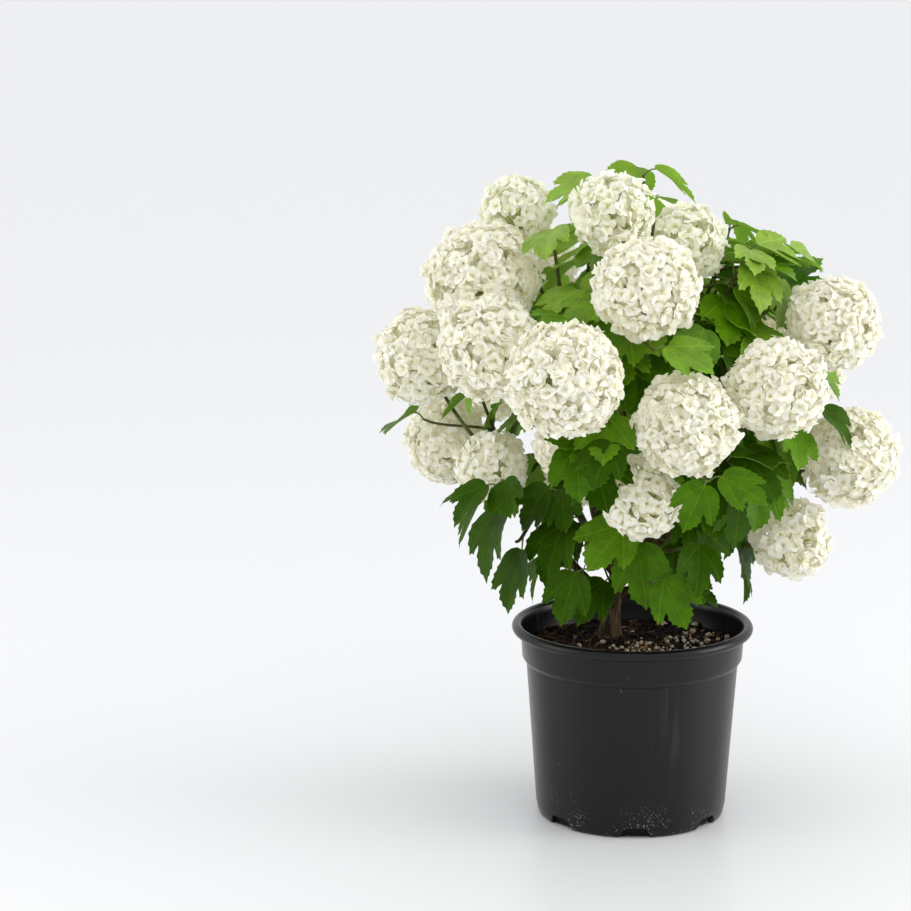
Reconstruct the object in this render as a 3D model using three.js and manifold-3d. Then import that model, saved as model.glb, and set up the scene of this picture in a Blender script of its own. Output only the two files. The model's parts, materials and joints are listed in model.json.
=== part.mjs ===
// A snowball viburnum in its nursery pot, in millimetres, with +Z up.
// The pot's underside is centred on the origin, and the plant's front faces -Y.
// Every bough leaves the short trunk and carries one mass of foliage, a node of its own:
// shoots that branch from one stem, pairs of three-lobed leaves, and round heads of blossom.
import * as THREE from "three";
import { mergeVertices } from "three/addons/utils/BufferGeometryUtils.js";
import Module from "manifold-3d";

const wasm = await Module();
wasm.setup();

// ---------------------------------------------------------------- driving dimensions

const GAP = 0.3; // clearance between parts that sit on each other
const CLEAR = 0.7; // least clearance between leaves, and between the shoots of two masses
const SLIVER = 0.05; // details thinner than this are dropped where pieces are joined

const POT = {
  height: 188,
  wall: 1.6,
  floor: 2.2,
  footRadius: 85.5,
  heelRadius: 91,
  heelHeight: 12,
  stepRadius: 101,
  stepHeight: 149.5,
  bandRadius: 105,
  bandHeight: 154.5,
  neckRadius: 106.3,
  beadRadius: 4.8,
  beadCentre: 110.2,
  slots: 7,
  slotWidth: 31,
  slotTaper: 0.35, // a slot narrows towards its top
  slotHeight: 10.5,
  slotDepth: 12,
  sides: 36,
};
const SOIL = { level: 166, edgeDrop: 4, levelRadius: 34 };
const TRUNK = {
  foot: [-20, 22],
  top: [-3, 4],
  height: 112,
  rootRadius: 13,
  radius: 7.8,
  tipRadius: 5.5,
  flareShare: 0.3,
};
const BOUGH = { rootRadius: 4.4, tipRadius: 3.4, share: 0.5 };
const STEM = { length: 26, spread: 0.8 };
const SHOOT = { rootRadius: 2.7, tipRadius: 2.1, sideRadius: 1.8, sideTipRadius: 1.5 };
const SIDE = {
  count: 2,
  first: 0.4,
  last: 0.72,
  clearOfHub: 35,
  turn: 2.4,
  shortest: 42,
  longest: 70,
  lowest: 330, // lower down, the shoots don't branch
  furthest: 205,
};
const LEAF = {
  length: 60,
  stalk: 17,
  stalkWidth: 1.4,
  thickness: 1.3,
  spacing: 30,
  first: 18,
  youngest: 0.78,
  lowest: 204,
  bareBelow: 320, // lower down, a shoot keeps only its outer pairs
  lowPairs: 2,
};

// The crown, mass by mass. fork: height on the trunk where the bough leaves it.
// Each head of blossom: azimuth in degrees from +X, height, reach from the pot's axis, diameter.
// Each sprig, a shoot that ends in young leaves: azimuth, height, reach.
const CROWN = {
  front_left: {
    fork: 230,
    heads: [[250, 459, 210, 103], [222, 473, 185, 94], [232, 375, 108, 53]],
    sprigs: [[234, 331, 78], [262, 398, 170]],
  },
  front_low: {
    fork: 198,
    heads: [[270, 338, 125, 76]],
    sprigs: [
      [244, 262, 105],
      [276, 252, 108],
      [299, 288, 108],
      [226, 290, 66],
      [313, 298, 58],
      [220, 326, 92],
    ],
  },
  front_right: {
    fork: 219,
    heads: [[282, 414, 177, 92], [310, 441, 185, 89]],
    sprigs: [[304, 340, 104], [279, 437, 102], [326, 480, 112]],
  },
  right: {
    fork: 234,
    heads: [[341, 487, 188, 86], [348, 357, 203, 91], [18, 420, 170, 78]],
    sprigs: [[347, 436, 140], [330, 395, 160]],
  },
  right_low: {
    fork: 207,
    heads: [[346, 277, 151, 73]],
    sprigs: [[349, 323, 118], [343, 284, 106], [20, 300, 130]],
  },
  top_front: {
    fork: 254,
    heads: [[270.5, 532, 147, 93], [251, 592, 85, 75]],
    sprigs: [[238, 505, 124], [280, 588, 71]],
  },
  top_right: {
    fork: 260,
    heads: [[311, 559, 67, 70], [80, 535, 117, 86]],
    sprigs: [[0, 565, 86], [331, 551, 112], [5, 493, 131], [30, 540, 110], [40, 615, 7]],
  },
  top_left: {
    fork: 243,
    heads: [[193, 522, 148, 107], [166, 577, 114, 68]],
    sprigs: [[205, 566, 88], [225, 609, 45], [193, 548, 46], [150, 540, 130]],
  },
  left: {
    fork: 203,
    heads: [[188.5, 344, 135, 64], [171.5, 440, 202, 90], [157, 350, 190, 84]],
    sprigs: [[209, 335, 146], [214, 284, 136], [165, 400, 150]],
  },
  back_left: {
    fork: 226,
    heads: [[124, 505, 169, 92], [128, 400, 192, 90]],
    sprigs: [[140, 455, 190], [145, 330, 160]],
  },
  back: {
    fork: 212,
    heads: [[99, 440, 187, 96], [115, 310, 130, 78]],
    sprigs: [[90, 360, 175], [85, 280, 130], [100, 520, 130]],
  },
  back_right: {
    fork: 247,
    heads: [[45, 440, 190, 90], [71, 365, 180, 84]],
    sprigs: [[50, 350, 170], [60, 490, 160], [40, 285, 130]],
  },
};

// ---------------------------------------------------------------- shared helpers

const UP = new THREE.Vector3(0, 0, 1);

// A repeatable number from 0 to 1 for any set of whole-number keys.
function chance(...keys) {
  let hash = 2166136261;
  for (const key of keys) {
    hash = Math.imul(hash ^ (key + 374761393), 668265263);
    hash ^= hash >>> 15;
  }
  hash = Math.imul(hash ^ (hash >>> 13), 2246822519);
  return ((hash ^ (hash >>> 16)) >>> 0) / 4294967296;
}

function lerp(a, b, t) {
  return a + (b - a) * t;
}

// A point from its azimuth in degrees, its height and its reach from the pot's axis.
function polar(azimuth, height, reach) {
  const angle = THREE.MathUtils.degToRad(azimuth);
  return new THREE.Vector3(reach * Math.cos(angle), reach * Math.sin(angle), height);
}

// The horizontal direction from the pot's axis out to a point.
function outward(point) {
  return new THREE.Vector3(point.x, point.y, 0).normalize();
}

// A closed three.js geometry as a solid that can be joined and cut.
function solid(geometry) {
  geometry.deleteAttribute("normal");
  geometry.deleteAttribute("uv");
  const merged = mergeVertices(geometry, 1e-4);
  return new wasm.Manifold(
    new wasm.Mesh({
      numProp: 3,
      vertProperties: merged.attributes.position.array,
      triVerts: new Uint32Array(merged.index.array),
    }),
  );
}

// A solid turned from a profile of [radius, height] points that starts and ends on the axis.
function turned(profile, segments) {
  const points = profile.map(([radius, height]) => new THREE.Vector2(radius, height));
  return solid(new THREE.LatheGeometry(points, segments).rotateX(Math.PI / 2));
}

// A limb along a path: a closed cylinder bent onto the path, with its own radius at each ring.
function limb(path, radiusAt, sides, rings) {
  const geometry = new THREE.CylinderGeometry(1, 1, 1, sides, rings);
  const frames = path.computeFrenetFrames(rings, false);
  const position = geometry.attributes.position;
  for (let i = 0; i < position.count; i++) {
    const ring = Math.round((position.getY(i) + 0.5) * rings);
    const radius = radiusAt(ring / rings);
    const point = path.getPointAt(ring / rings);
    point.addScaledVector(frames.normals[ring], position.getX(i) * radius);
    point.addScaledVector(frames.binormals[ring], -position.getZ(i) * radius);
    position.setXYZ(i, point.x, point.y, point.z);
  }
  return solid(geometry);
}

// The largest body of a solid, with any hollow that joining has sealed filled in and slivers removed.
function mainBody(shape) {
  const bodies = shape.decompose();
  return bodies.reduce((best, body) => (body.volume() > best.volume() ? body : best)).simplify(SLIVER);
}

function mesh(name, shape, look) {
  const { vertProperties, triVerts } = shape.getMesh();
  const geometry = new THREE.BufferGeometry();
  geometry.setAttribute("position", new THREE.BufferAttribute(vertProperties, 3));
  geometry.setIndex(new THREE.BufferAttribute(triVerts, 1));
  geometry.computeVertexNormals();
  const made = new THREE.Mesh(geometry, new THREE.MeshStandardMaterial(look));
  made.name = name;
  return made;
}

// ---------------------------------------------------------------- pot and soil

// The pot's outer radius at a height below the band.
function wallRadius(height) {
  return lerp(
    POT.heelRadius,
    POT.stepRadius,
    (height - POT.heelHeight) / (POT.stepHeight - POT.heelHeight),
  );
}

function pot() {
  const bead = POT.height - POT.beadRadius;
  const lip = [];
  for (let degrees = -140; degrees <= 160; degrees += 60) {
    const angle = THREE.MathUtils.degToRad(degrees);
    lip.push([POT.beadCentre + POT.beadRadius * Math.cos(angle), bead + POT.beadRadius * Math.sin(angle)]);
  }
  const shell = turned(
    [
      [0, 0],
      [POT.footRadius, 0],
      [POT.footRadius + 3.5, 3],
      [POT.heelRadius, POT.heelHeight],
      [POT.stepRadius, POT.stepHeight],
      [POT.bandRadius, POT.bandHeight],
      [POT.neckRadius, bead - POT.beadRadius],
      ...lip,
      [POT.neckRadius - POT.wall, bead - POT.beadRadius],
      [POT.bandRadius - POT.wall, POT.bandHeight + 1],
      [POT.stepRadius - POT.wall, POT.stepHeight],
      [POT.heelRadius - POT.wall, POT.heelHeight],
      [POT.footRadius - POT.wall, POT.floor],
      [0, POT.floor],
    ],
    POT.sides,
  );
  let cut = shell;
  for (let i = 0; i < POT.slots; i++) {
    const slot = new THREE.BoxGeometry(POT.slotDepth, POT.slotWidth, 2 * POT.slotHeight);
    const corners = slot.getAttribute("position");
    for (let k = 0; k < corners.count; k += 1) {
      corners.setY(k, corners.getY(k) * (1 - POT.slotTaper * Math.sign(corners.getZ(k))));
    }
    slot.translate(POT.heelRadius - POT.slotDepth / 4, 0, 0);
    slot.rotateZ(-Math.PI / 2 + (i * 2 * Math.PI) / POT.slots);
    cut = cut.subtract(solid(slot));
  }
  return cut;
}

// Soil fills the pot to a little below the rim, level round the trunk and lower at the wall.
function soil() {
  const inner = (height) => wallRadius(height) - POT.wall - GAP;
  const edge = SOIL.level - SOIL.edgeDrop;
  return turned(
    [
      [0, POT.floor + GAP],
      [POT.footRadius - POT.wall - 1.5, POT.floor + GAP],
      [inner(POT.heelHeight), POT.heelHeight],
      [inner(POT.stepHeight), POT.stepHeight],
      [POT.bandRadius - POT.wall - GAP, POT.bandHeight + 1.5],
      [POT.bandRadius - POT.wall - GAP, edge],
      [lerp(SOIL.levelRadius, POT.bandRadius, 0.5), lerp(edge, SOIL.level, 0.3)],
      [SOIL.levelRadius, SOIL.level],
      [0, SOIL.level],
    ],
    POT.sides,
  );
}

// ---------------------------------------------------------------- trunk and boughs

const trunkFoot = new THREE.Vector3(...TRUNK.foot, SOIL.level + GAP);
const trunkTop = new THREE.Vector3(...TRUNK.top, SOIL.level + GAP + TRUNK.height);
const trunkPath = new THREE.CubicBezierCurve3(
  trunkFoot,
  trunkFoot.clone().addScaledVector(UP, TRUNK.height * 0.3),
  trunkTop.clone().add(new THREE.Vector3(-6, 5, -TRUNK.height * 0.3)),
  trunkTop,
);

// The trunk's radius: a root flare at the foot, then a slow taper to the tip.
function trunkRadius(share) {
  const flare = (TRUNK.rootRadius - TRUNK.radius) * Math.max(0, 1 - share / TRUNK.flareShare) ** 2;
  return lerp(TRUNK.radius, TRUNK.tipRadius, share) + flare;
}

function trunk(extra = 0) {
  const level = new THREE.BoxGeometry(80, 80, 20);
  level.translate(trunkFoot.x, trunkFoot.y, trunkFoot.z - 10);
  return limb(trunkPath, (share) => trunkRadius(share) + extra, 12, 10).subtract(solid(level));
}

// Where a bough leaves the trunk's middle line, at a height.
function forkPoint(height) {
  return trunkPath.getPoint((height - trunkFoot.z) / TRUNK.height);
}

// The middle of everything that a mass carries.
function massCentre({ heads, sprigs }) {
  const centre = new THREE.Vector3();
  for (const [azimuth, height, reach] of [...heads, ...sprigs]) {
    centre.add(polar(azimuth, height, reach));
  }
  return centre.divideScalar(heads.length + sprigs.length);
}

// A bough arches out of the trunk towards its mass, and stops where the mass begins.
function boughPath(plan) {
  const root = forkPoint(plan.fork);
  const tip = root.clone().lerp(massCentre(plan), BOUGH.share);
  const length = tip.distanceTo(root);
  const side = outward(massCentre(plan));
  const leaving = side.clone().multiplyScalar(0.8).addScaledVector(UP, 0.6);
  const arriving = tip.clone().sub(root).normalize().addScaledVector(UP, 0.45).normalize();
  return new THREE.CubicBezierCurve3(
    root,
    root.clone().addScaledVector(leaving, length * 0.3),
    tip.clone().addScaledVector(arriving, -length * 0.35),
    tip,
  );
}

function bough(path, trunkWithGap) {
  const radiusAt = (share) => lerp(BOUGH.rootRadius, BOUGH.tipRadius, share);
  return mainBody(limb(path, radiusAt, 6, 5).subtract(trunkWithGap));
}

// ---------------------------------------------------------------- heads, leaves and shoots

// A round head of blossom, lumpy all over as its florets are.
function head(centre, diameter, ...keys) {
  const geometry = new THREE.IcosahedronGeometry(1, 1);
  const position = geometry.attributes.position;
  const point = new THREE.Vector3();
  for (let i = 0; i < position.count; i++) {
    point.fromBufferAttribute(position, i).normalize();
    const lump = chance(...keys, ...point.toArray().map((value) => Math.round(value * 50)));
    point.multiplyScalar(diameter * lerp(0.48, 0.54, lump)).add(centre);
    position.setXYZ(i, point.x, point.y, point.z);
  }
  return solid(geometry);
}

// The right half of a blade's outline, in shares of its length: stalk, base lobe, side lobe, sinus, tip.
const LEAF_OUTLINE = [[0.03, 0], [0.36, 0.1], [0.5, 0.68], [0.21, 0.56], [0, 1.02]];
const BLADE_MIDDLE = 0.36;

// A three-lobed leaf on its stalk: one thin closed body with knife edges.
// root: where the stalk leaves its shoot; base: where the blade begins; along, normal: the blade's axes.
function leaf({ root, base, along, normal, length }) {
  const side = along.clone().cross(normal);
  const place = (x, y, lift) => {
    const fold = 0.22 * Math.abs(x) - 0.2 * y * y;
    return base
      .clone()
      .addScaledVector(side, x * length)
      .addScaledVector(along, y * length)
      .addScaledVector(normal, fold * length + lift);
  };
  const rootCorner = (x, lift) => root.clone().addScaledVector(side, x).addScaledVector(normal, lift);
  const right = LEAF_OUTLINE.map(([x, y]) => place(x, y, 0));
  const left = LEAF_OUTLINE.slice(0, -1).map(([x, y]) => place(-x, y, 0)).reverse();
  const rim = [...right, ...left];
  const points = [
    ...rim,
    place(0, BLADE_MIDDLE, LEAF.thickness / 2),
    place(0, BLADE_MIDDLE, -LEAF.thickness / 2),
    rootCorner(LEAF.stalkWidth / 2, 0.3),
    rootCorner(-LEAF.stalkWidth / 2, 0.3),
    rootCorner(0, -0.8),
  ];
  const last = rim.length - 1;
  const [top, under, rootRight, rootLeft, rootUnder] = [1, 2, 3, 4, 5].map((after) => last + after);
  const faces = [
    [rootRight, rootLeft, rootUnder],
    [rootRight, last, rootLeft],
    [rootRight, 0, last],
    [rootUnder, 0, rootRight],
    [rootUnder, under, 0],
    [rootLeft, under, rootUnder],
    [rootLeft, last, under],
    [last, 0, top],
  ];
  for (let i = 0; i < last; i++) {
    faces.push([i, i + 1, top], [i, under, i + 1]);
  }
  const geometry = new THREE.BufferGeometry().setFromPoints(points);
  geometry.setIndex(faces.flat());
  return solid(geometry);
}

// How a leaf sits: low leaves hang and face outwards, high ones lie level.
function leafPose(root, tangent, turn, size, keys) {
  const out = outward(root);
  const reference = Math.abs(tangent.z) > 0.9 ? out : UP;
  const across = tangent.clone().cross(reference).normalize();
  const side = across.clone().applyAxisAngle(tangent, turn);
  const hang = THREE.MathUtils.clamp(1.15 - (root.z - 250) / 330, 0.4, 1.15);
  const wander = new THREE.Vector3(chance(...keys, 1), chance(...keys, 2), chance(...keys, 3));
  wander.subScalar(0.5).multiplyScalar(0.7);
  const stalk = side.clone().addScaledVector(tangent, 0.5).addScaledVector(out, 0.5);
  stalk.addScaledVector(UP, 0.25).normalize();
  const along = side.clone().multiplyScalar(0.7).addScaledVector(out, 0.8).add(wander);
  along.addScaledVector(UP, -hang).normalize();
  const normal = UP.clone().multiplyScalar(1.25 - 0.6 * hang).addScaledVector(out, 0.45 + 0.6 * hang);
  normal.addScaledVector(wander, 0.5);
  normal.addScaledVector(along, -normal.dot(along)).normalize();
  const length = LEAF.length * size * lerp(0.88, 1.12, chance(...keys, 4));
  const base = root.clone().addScaledVector(stalk, LEAF.stalk * size);
  return { root, base, along, normal, length };
}

// The path of a shoot: it leaves its parent at an angle and comes up under its tip.
function shootPath(start, heading, end, sunk) {
  const length = end.distanceTo(start);
  const ahead = end.clone().sub(start).normalize();
  const leaving = ahead.clone().addScaledVector(heading, 0.4).addScaledVector(outward(ahead), 0.3);
  const arriving = ahead.addScaledVector(UP, 0.35).normalize();
  return new THREE.CubicBezierCurve3(
    start,
    start.clone().addScaledVector(leaving.normalize(), length * 0.3),
    end.clone().addScaledVector(arriving, -length * 0.3 - sunk),
    end.clone().addScaledVector(arriving, -sunk),
  );
}

// Everything that a mass grows from one stem: a shoot to each head and each sprig, and side sprigs that
// branch from the longer ones, each turned on from the last. A shoot knows its mass and its number.
function massShoots(plan, path, mass) {
  const heading = path.getTangent(1);
  const start = path.getPoint(1).addScaledVector(heading, GAP);
  const stem = new THREE.LineCurve3(start, start.clone().addScaledVector(heading, STEM.length));
  const shoots = [{ path: stem, kind: "stem" }];
  const count = plan.heads.length + plan.sprigs.length;
  const nextRoot = () => stem.getPointAt(1 - STEM.spread * ((shoots.length - 1) / count));
  for (const [azimuth, height, reach, diameter] of plan.heads) {
    const centre = polar(azimuth, height, reach);
    const toHead = shootPath(nextRoot(), heading, centre, diameter * 0.3);
    shoots.push({ path: toHead, kind: "flowering", centre, diameter });
  }
  for (const [azimuth, height, reach] of plan.sprigs) {
    shoots.push({ path: shootPath(nextRoot(), heading, polar(azimuth, height, reach), 0), kind: "sprig" });
  }
  const parents = shoots.filter(({ kind }) => kind !== "stem");
  parents.forEach((parent) => {
    const number = shoots.indexOf(parent);
    for (let i = 0; i < SIDE.count; i++) {
      const share = lerp(SIDE.first, SIDE.last, i / (SIDE.count - 1));
      if (share * parent.path.getLength() < SIDE.clearOfHub) continue;
      const root = parent.path.getPointAt(share);
      const tangent = parent.path.getTangentAt(share);
      const turn = (number + i) * SIDE.turn + chance(mass, number, i);
      const across = tangent.clone().cross(outward(root)).normalize().applyAxisAngle(tangent, turn);
      const aim = across.addScaledVector(tangent, 0.7).addScaledVector(outward(root), 0.5).normalize();
      const length = lerp(SIDE.shortest, SIDE.longest, chance(mass, number, i, 7));
      const tip = root.clone().addScaledVector(aim, length);
      if (tip.z < SIDE.lowest || Math.hypot(tip.x, tip.y) > SIDE.furthest) continue;
      shoots.push({ path: shootPath(root, tangent, tip, 0), kind: "side", parent: number });
    }
  });
  return shoots.map((shoot, number) => ({ ...shoot, mass, number }));
}

function shootSolid({ path, kind }) {
  if (kind === "stem") return limb(path, () => BOUGH.tipRadius, 6, 1);
  if (kind === "side") {
    return limb(path, (share) => lerp(SHOOT.sideRadius, SHOOT.sideTipRadius, share), 3, 2);
  }
  return limb(path, (share) => lerp(SHOOT.rootRadius, SHOOT.tipRadius, share), 4, 3);
}

// The leaves that a shoot bears: pairs a quarter turn apart, the last one at its tip or under its head.
function shootLeaves(shoot) {
  const { path, kind, mass, number } = shoot;
  const length = path.getLength();
  const leaves = [];
  let pair = 0;
  const last = kind === "flowering" ? length - shoot.diameter * 0.25 : length - 1;
  for (let at = last; at > LEAF.first; at -= LEAF.spacing) {
    const root = path.getPointAt(at / length);
    const tangent = path.getTangentAt(at / length);
    const size = kind !== "flowering" && pair === 0 ? LEAF.youngest : 1;
    for (const half of [0, 1]) {
      const turn = pair * (Math.PI / 2) + half * Math.PI + chance(mass, number, pair) * 0.6;
      const pose = leafPose(root, tangent, turn, size, [mass, number, pair, half]);
      leaves.push({ pose, mass, number, pair, kind: "leaf" });
    }
    pair += 1;
    if (root.z < LEAF.bareBelow && pair === LEAF.lowPairs) break;
  }
  return leaves;
}

// ---------------------------------------------------------------- keeping clear

// Every piece in place, with what it is and which mass and shoot it belongs to.
const placed = [];

function place(shape, piece) {
  placed.push({ shape, piece, box: shape.boundingBox() });
}

function boxesApart(a, b) {
  return [0, 1, 2].some((i) => a.min[i] - b.max[i] > CLEAR || b.min[i] - a.max[i] > CLEAR);
}

function isClear(shape, mayTouch) {
  const box = shape.boundingBox();
  return placed.every(
    (other) =>
      mayTouch(other.piece) ||
      boxesApart(box, other.box) ||
      shape.minGap(other.shape, 2 * CLEAR) >= CLEAR,
  );
}

// A sprig touches only the stem and shoots of its own mass.
function sprigIsClear(shape, { mass }) {
  return isClear(shape, (other) => other.mass === mass && other.kind !== "head" && other.kind !== "leaf");
}

// A leaf touches only its own shoot and the other leaf of its pair, and hangs clear of the pot.
function leafIsClear(shape, { mass, number, pair }) {
  if (shape.boundingBox().min[2] < LEAF.lowest) return false;
  return isClear(
    shape,
    (other) =>
      other.mass === mass &&
      other.number === number &&
      (other.kind !== "leaf" || other.pair === pair) &&
      other.kind !== "head",
  );
}

// ---------------------------------------------------------------- the plant

const plant = new THREE.Group();

function addPart(name, shape, look) {
  plant.add(mesh(name, shape, look));
  place(shape, { kind: name });
}

addPart("pot", pot(), { color: "#2d2d2f", roughness: 0.42 });
addPart("potting_soil", soil(), { color: "#1c140e", roughness: 0.97 });
addPart("trunk", trunk(), { color: "#5d4a36", roughness: 0.85 });

// First the boughs, and the shoots and heads that they are there to carry.
const trunkWithGap = trunk(GAP);
const masses = Object.entries(CROWN).map(([name, plan], mass) => {
  const path = boughPath(plan);
  addPart(`bough_${name}`, bough(path, trunkWithGap), { color: "#6a5a3c", roughness: 0.8 });
  const shoots = massShoots(plan, path, mass);
  return { name, shoots, pieces: [] };
});

function grow({ pieces }, shape, piece) {
  place(shape, piece);
  pieces.push({ ...piece, shape });
}

for (const mass of masses) {
  for (const shoot of mass.shoots.filter(({ kind }) => kind === "stem" || kind === "flowering")) {
    grow(mass, shootSolid(shoot), shoot);
    if (shoot.kind === "stem") continue;
    const blossom = head(shoot.centre, shoot.diameter, shoot.mass, shoot.number);
    grow(mass, blossom, { ...shoot, kind: "head" });
  }
}

// Then the sprigs, and then the leaves, one by one round the crown, wherever they have room.
for (const mass of masses) {
  mass.bearing = mass.shoots.filter(({ kind }) => kind === "flowering");
  for (const shoot of mass.shoots.filter(({ kind }) => kind === "sprig" || kind === "side")) {
    if (shoot.kind === "side" && !mass.bearing.some(({ number }) => number === shoot.parent)) continue;
    const shape = shootSolid(shoot);
    if (!sprigIsClear(shape, shoot)) continue;
    grow(mass, shape, shoot);
    mass.bearing.push(shoot);
  }
  mass.leaves = mass.bearing.flatMap(shootLeaves);
}
const mostLeaves = Math.max(...masses.map(({ leaves }) => leaves.length));
for (let turn = 0; turn < mostLeaves; turn++) {
  for (const mass of masses.filter(({ leaves }) => turn < leaves.length)) {
    const shape = leaf(mass.leaves[turn].pose);
    if (leafIsClear(shape, mass.leaves[turn])) grow(mass, shape, mass.leaves[turn]);
  }
}

for (const { name, pieces } of masses) {
  const bare = ({ kind, number }) =>
    kind === "side" && !pieces.some((piece) => piece.kind === "leaf" && piece.number === number);
  const solids = pieces.filter((piece) => !bare(piece)).map(({ shape }) => shape);
  const shape = mainBody(wasm.Manifold.union(solids));
  plant.add(mesh(`foliage_${name}`, shape, { color: "#4a6b14", roughness: 0.6 }));
}

export default plant;
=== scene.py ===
# A snowball viburnum in its nursery pot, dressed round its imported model.
# One unit is a metre and +Z is up. The pot's underside is centred on the origin, and the front faces -Y.
import math

import bpy
import numpy as np
from mathutils import Matrix, Vector, geometry, noise
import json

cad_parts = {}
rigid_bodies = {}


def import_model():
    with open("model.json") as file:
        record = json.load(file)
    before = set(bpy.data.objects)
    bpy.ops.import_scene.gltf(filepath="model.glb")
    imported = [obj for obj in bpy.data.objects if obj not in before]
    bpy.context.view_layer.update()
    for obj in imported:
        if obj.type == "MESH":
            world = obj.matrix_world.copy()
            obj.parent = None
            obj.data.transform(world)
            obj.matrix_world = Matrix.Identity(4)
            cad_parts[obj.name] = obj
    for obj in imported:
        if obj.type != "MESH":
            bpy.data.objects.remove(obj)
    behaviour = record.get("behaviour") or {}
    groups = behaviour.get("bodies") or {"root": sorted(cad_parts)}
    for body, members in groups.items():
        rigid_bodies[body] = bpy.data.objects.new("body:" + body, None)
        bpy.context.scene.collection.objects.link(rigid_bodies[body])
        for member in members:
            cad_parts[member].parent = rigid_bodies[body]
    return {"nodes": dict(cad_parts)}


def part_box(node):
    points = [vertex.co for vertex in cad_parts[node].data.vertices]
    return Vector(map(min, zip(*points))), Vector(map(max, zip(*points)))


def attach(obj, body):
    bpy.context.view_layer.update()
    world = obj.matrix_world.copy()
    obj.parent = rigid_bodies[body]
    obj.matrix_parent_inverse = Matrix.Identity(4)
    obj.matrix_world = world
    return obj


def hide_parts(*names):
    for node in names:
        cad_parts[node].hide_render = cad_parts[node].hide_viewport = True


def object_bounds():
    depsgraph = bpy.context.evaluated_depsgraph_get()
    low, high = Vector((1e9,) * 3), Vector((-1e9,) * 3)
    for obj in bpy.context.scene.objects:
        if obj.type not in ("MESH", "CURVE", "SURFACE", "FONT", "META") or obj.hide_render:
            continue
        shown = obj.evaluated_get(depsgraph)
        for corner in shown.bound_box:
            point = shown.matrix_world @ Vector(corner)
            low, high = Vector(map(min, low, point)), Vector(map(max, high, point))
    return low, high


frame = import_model()
cad_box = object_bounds()
MM = 0.001


# ------------------------------------------------------------------ camera
# A long lens on a stand in front of the plant, a little above it and looking down on it.
# The pot stands right of the middle of the picture, as one of a pair would.
CAMERA_PLACE = (-0.1689, -3.0, 0.9829)
CAMERA_LOOKS_DOWN = math.radians(11.92)
CAMERA_LENS_MM = 128.25
CAMERA_SENSOR_MM = 36

camera_data = bpy.data.cameras.new("camera")
camera_data.sensor_width = CAMERA_SENSOR_MM
camera_data.lens = CAMERA_LENS_MM
camera = bpy.data.objects.new("camera", camera_data)
camera.location = CAMERA_PLACE
camera.rotation_euler = (math.pi / 2 - CAMERA_LOOKS_DOWN, 0, 0)
bpy.context.scene.collection.objects.link(camera)
bpy.context.scene.camera = camera


# ------------------------------------------------------------------ pot
# One thin shell of black polypropylene: a wall that widens to a stepped band, a rolled rim that
# stiffens it, and drain slots through the foot. It comes off the mould satin, and picks up dust and scuffs.
POT_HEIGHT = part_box("pot")[1].z
POT_WALL = 1.6 * MM
POT_FLOOR = 2.2 * MM
POT_FOOT_RADIUS = 85.5 * MM
POT_FOOT_CURVE = 5 * MM
# The wall's radius and height at its heel, under the step and over it.
POT_HEEL = (91 * MM, 12 * MM)
POT_STEP = (101 * MM, 149.5 * MM)
POT_BAND = (105 * MM, 154.5 * MM)
STEP_EASE = (0.7 * MM, 0.5 * MM)
BAND_EASE = (0.7 * MM, 0.6 * MM)
BAND_START = 0.8 * MM
POT_NECK_RADIUS = 106.3 * MM
NECK_EASE = (0.8 * MM, 1 * MM)
POT_BEAD_RADIUS = 4.8 * MM
POT_BEAD_CENTRE = 110.2 * MM
POT_SIDES = 144
POT_CREASE = 32
SLOTS = 7
SLOT_SIZE = (12 * MM, 31 * MM, 21 * MM)
SLOT_TAPER = 0.35
SLOT_ROUNDING = 2.5 * MM


def arc(centre, radius, first, last, steps):
    """Points (radius from the axis, height) round a circle in the profile, from one angle to another."""
    angles = np.radians(np.linspace(first, last, steps + 1))
    return [(centre[0] + radius * math.cos(a), centre[1] + radius * math.sin(a)) for a in angles]


def pot_profile():
    """The shell's rings, from the foot up the outside, over the rim and down the inside."""
    bead = POT_HEIGHT - POT_BEAD_RADIUS
    neck = bead - POT_BEAD_RADIUS
    foot = arc((POT_FOOT_RADIUS - 1 * MM, POT_FOOT_CURVE), POT_FOOT_CURVE, -90, -20, 4)
    wall = [
        POT_HEEL,
        POT_STEP,
        (POT_STEP[0] + STEP_EASE[0], POT_STEP[1] + STEP_EASE[1]),
        (POT_BAND[0] - BAND_EASE[0], POT_BAND[1] - BAND_EASE[1]),
        (POT_BAND[0], POT_BAND[1] + BAND_START),
        (POT_NECK_RADIUS, neck - NECK_EASE[1]),
        (POT_NECK_RADIUS - NECK_EASE[0], neck),
    ]
    rim = arc((POT_BEAD_CENTRE, bead), POT_BEAD_RADIUS, -140, 165, 16)
    inside = [
        (POT_NECK_RADIUS - POT_WALL, neck),
        (POT_BAND[0] - POT_WALL, POT_BAND[1] + 1 * MM),
        (POT_STEP[0] - POT_WALL, POT_STEP[1]),
        (POT_HEEL[0] - POT_WALL, POT_HEEL[1]),
        (POT_FOOT_RADIUS - POT_WALL, POT_FLOOR),
    ]
    return foot + wall + rim + inside


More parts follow.
